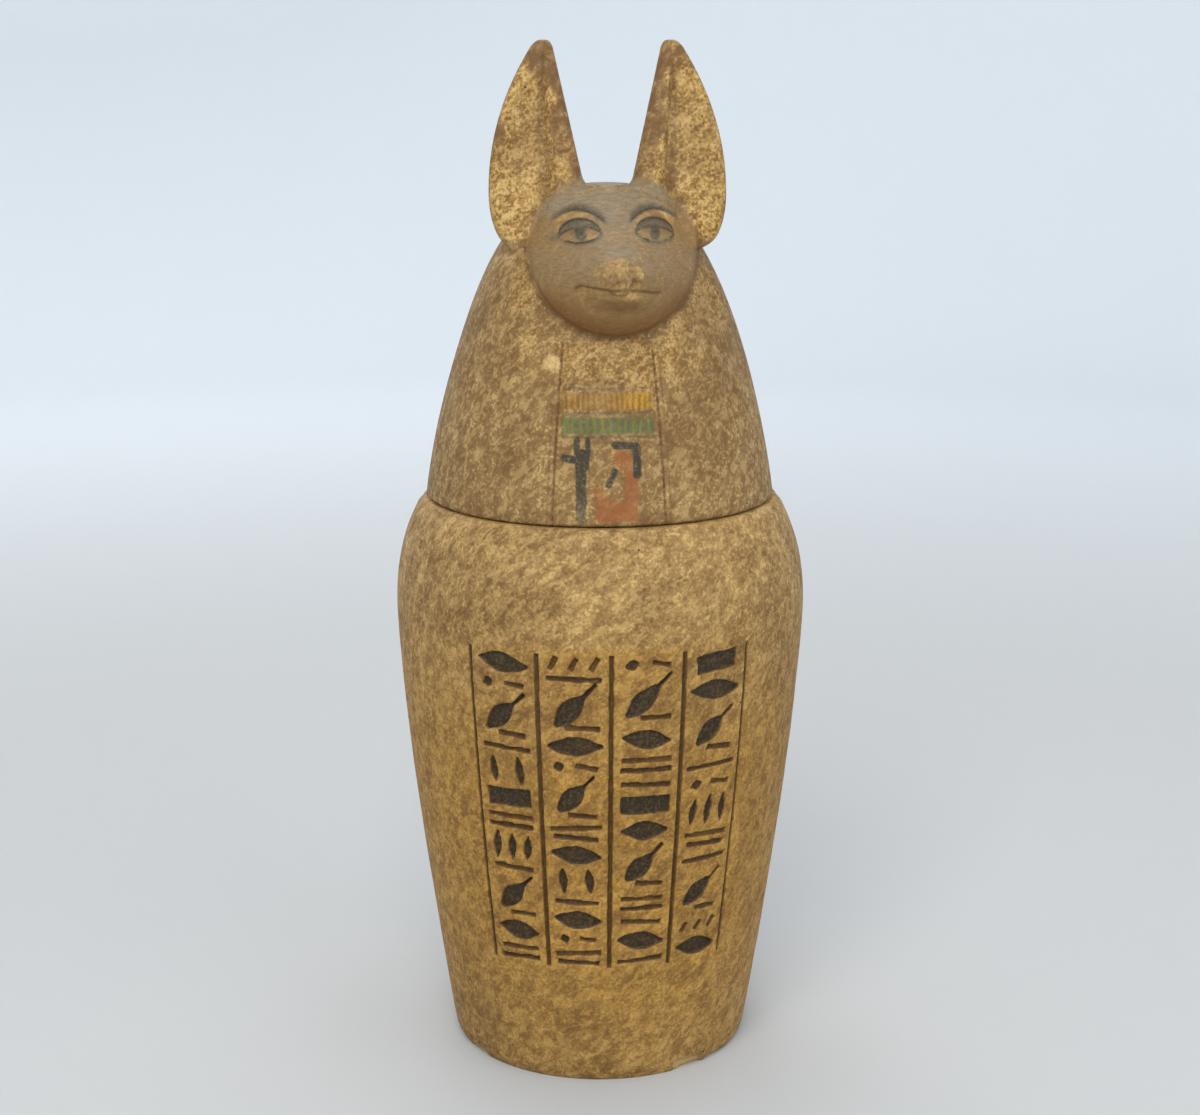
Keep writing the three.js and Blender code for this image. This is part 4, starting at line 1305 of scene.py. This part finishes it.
def limestone(name, shade):
    """Painted and worn limestone, with pigments where the piece's masks say.

    Shade is how much darker and greyer the wash is than the jar's, from 0 to 1.
    """
    n = Nodes(name)
    where = n.node("TexCoord").outputs["Object"]
    rise = n.node("SeparateXYZ", {"Vector": where}).outputs["Z"]
    tex = stone_textures(n, where)
    cover = n.span(tex.mass, 0.36, 0.63)
    colour = washed(n, tex, rise, cover, shade)
    colour = painted(n, tex, colour, skin_colour(n, tex, where))
    colour = lined(n, tex, colour, rise)

    holes = n.node("TexVoronoi", {"Vector": where, "Scale": 210.0, "Randomness": 1.0})
    sparse = n.span(holes.outputs["Color"], 0.88, 0.91)
    pits = n.times(n.span(holes.outputs["Distance"], 0.12, 0.05), sparse)
    n.put(n.shader["Base Color"], n.mix(n.times(pits, 0.85), colour, PIT))
    n.put(n.shader["Roughness"], n.span(cover, 0, 1, 0.74, 0.6))
    n.put(n.shader["Specular IOR Level"], 0.3)
    grain = n.noise(where, 1600, 3, 0.6)
    relief = n.sum((tex.specks, 1.1), (grain, 0.4), (pits, -1.4))
    bump = n.node("Bump", {"Strength": 0.6, "Distance": 0.0003, "Height": relief})
    n.put(n.shader["Normal"], bump.outputs[0])
    return n.material


# Floor, light and camera


def floor_material():
    """Pale and even, turning a little bluer and paler away from the jar."""
    n = Nodes("pale_floor")
    where = n.node("TexCoord").outputs["Object"]
    distance = n.node("VectorMath", {0: where}, operation="LENGTH").outputs["Value"]
    tone = n.mix(n.span(distance, 0.4, STAGE_RADIUS), TABLE_GREY, WALL_BLUE)
    n.put(n.shader["Base Color"], tone)
    n.put(n.shader["Roughness"], 0.85)
    n.put(n.shader["Specular IOR Level"], 0.2)
    return n.material


def build_floor():
    """A round table top that curves up all round into a pale wall."""
    sides = STAGE_SIDES
    section = [(STAGE_RADIUS, 0.0)]
    for turn in np.radians(np.arange(10, 91, 10)):
        out, up = math.sin(turn), 1 - math.cos(turn)
        section.append((STAGE_RADIUS + STAGE_BEND * out, STAGE_BEND * up))
    section.append((STAGE_RADIUS + STAGE_BEND, STAGE_HEIGHT))
    turns = np.linspace(0, 2 * math.pi, sides, endpoint=False)
    vertices = [(0, 0, 0)]
    vertices += [(r * math.cos(t), r * math.sin(t), z) for r, z in section for t in turns]
    ring = [(i, (i + 1) % sides) for i in range(sides)]
    faces = [(0, 1 + a, 1 + b) for a, b in ring]
    for row in range(len(section) - 1):
        low, high = 1 + row * sides, 1 + (row + 1) * sides
        faces += [(low + a, high + a, high + b, low + b) for a, b in ring]
    mesh = bpy.data.meshes.new("floor")
    mesh.from_pydata(vertices, [], faces)
    mesh.polygons.foreach_set("use_smooth", [True] * len(faces))
    floor = bpy.data.objects.new("floor", mesh)
    bpy.context.scene.collection.objects.link(floor)
    floor.data.materials.append(floor_material())


def area_light(name, place, size, power, colour):
    light = bpy.data.lights.new(name, "AREA")
    light.shape = "SQUARE"
    light.size = size
    light.energy = power
    light.color = colour
    holder = bpy.data.objects.new(name, light)
    holder.location = place
    holder.rotation_euler = (Vector(LIGHT_AIM) - Vector(place)).to_track_quat("-Z", "Y").to_euler()
    holder.visible_camera = False
    bpy.context.scene.collection.objects.link(holder)


def build_light():
    for light in LIGHTS:
        area_light(*light)
    world = bpy.data.worlds.new("world")
    world.use_nodes = True
    background = world.node_tree.nodes["Background"]
    background.inputs["Color"].default_value = SKY_COLOUR
    background.inputs["Strength"].default_value = SKY_STRENGTH
    bpy.context.scene.world = world


def build_camera():
    data = bpy.data.cameras.new("camera")
    data.lens = CAMERA_LENS
    data.sensor_width = CAMERA_SENSOR
    data.sensor_fit = "HORIZONTAL"
    camera = bpy.data.objects.new("camera", data)
    turn = math.radians(CAMERA_AZIMUTH)
    across, back = CAMERA_DISTANCE * math.sin(turn), CAMERA_DISTANCE * math.cos(turn)
    camera.location = (across, -back, CAMERA_HEIGHT)
    camera.rotation_euler = (math.radians(90 - CAMERA_PITCH), 0, turn)
    bpy.context.scene.collection.objects.link(camera)
    bpy.context.scene.camera = camera


jar = build_jar()
jar.data.materials.append(limestone("painted_limestone_jar", JAR_SHADE))
lid = build_lid()
lid.data.materials.append(limestone("painted_limestone_lid", LID_SHADE))
build_floor()
build_light()
build_camera()
bpy.context.scene.view_settings.view_transform = "Standard"
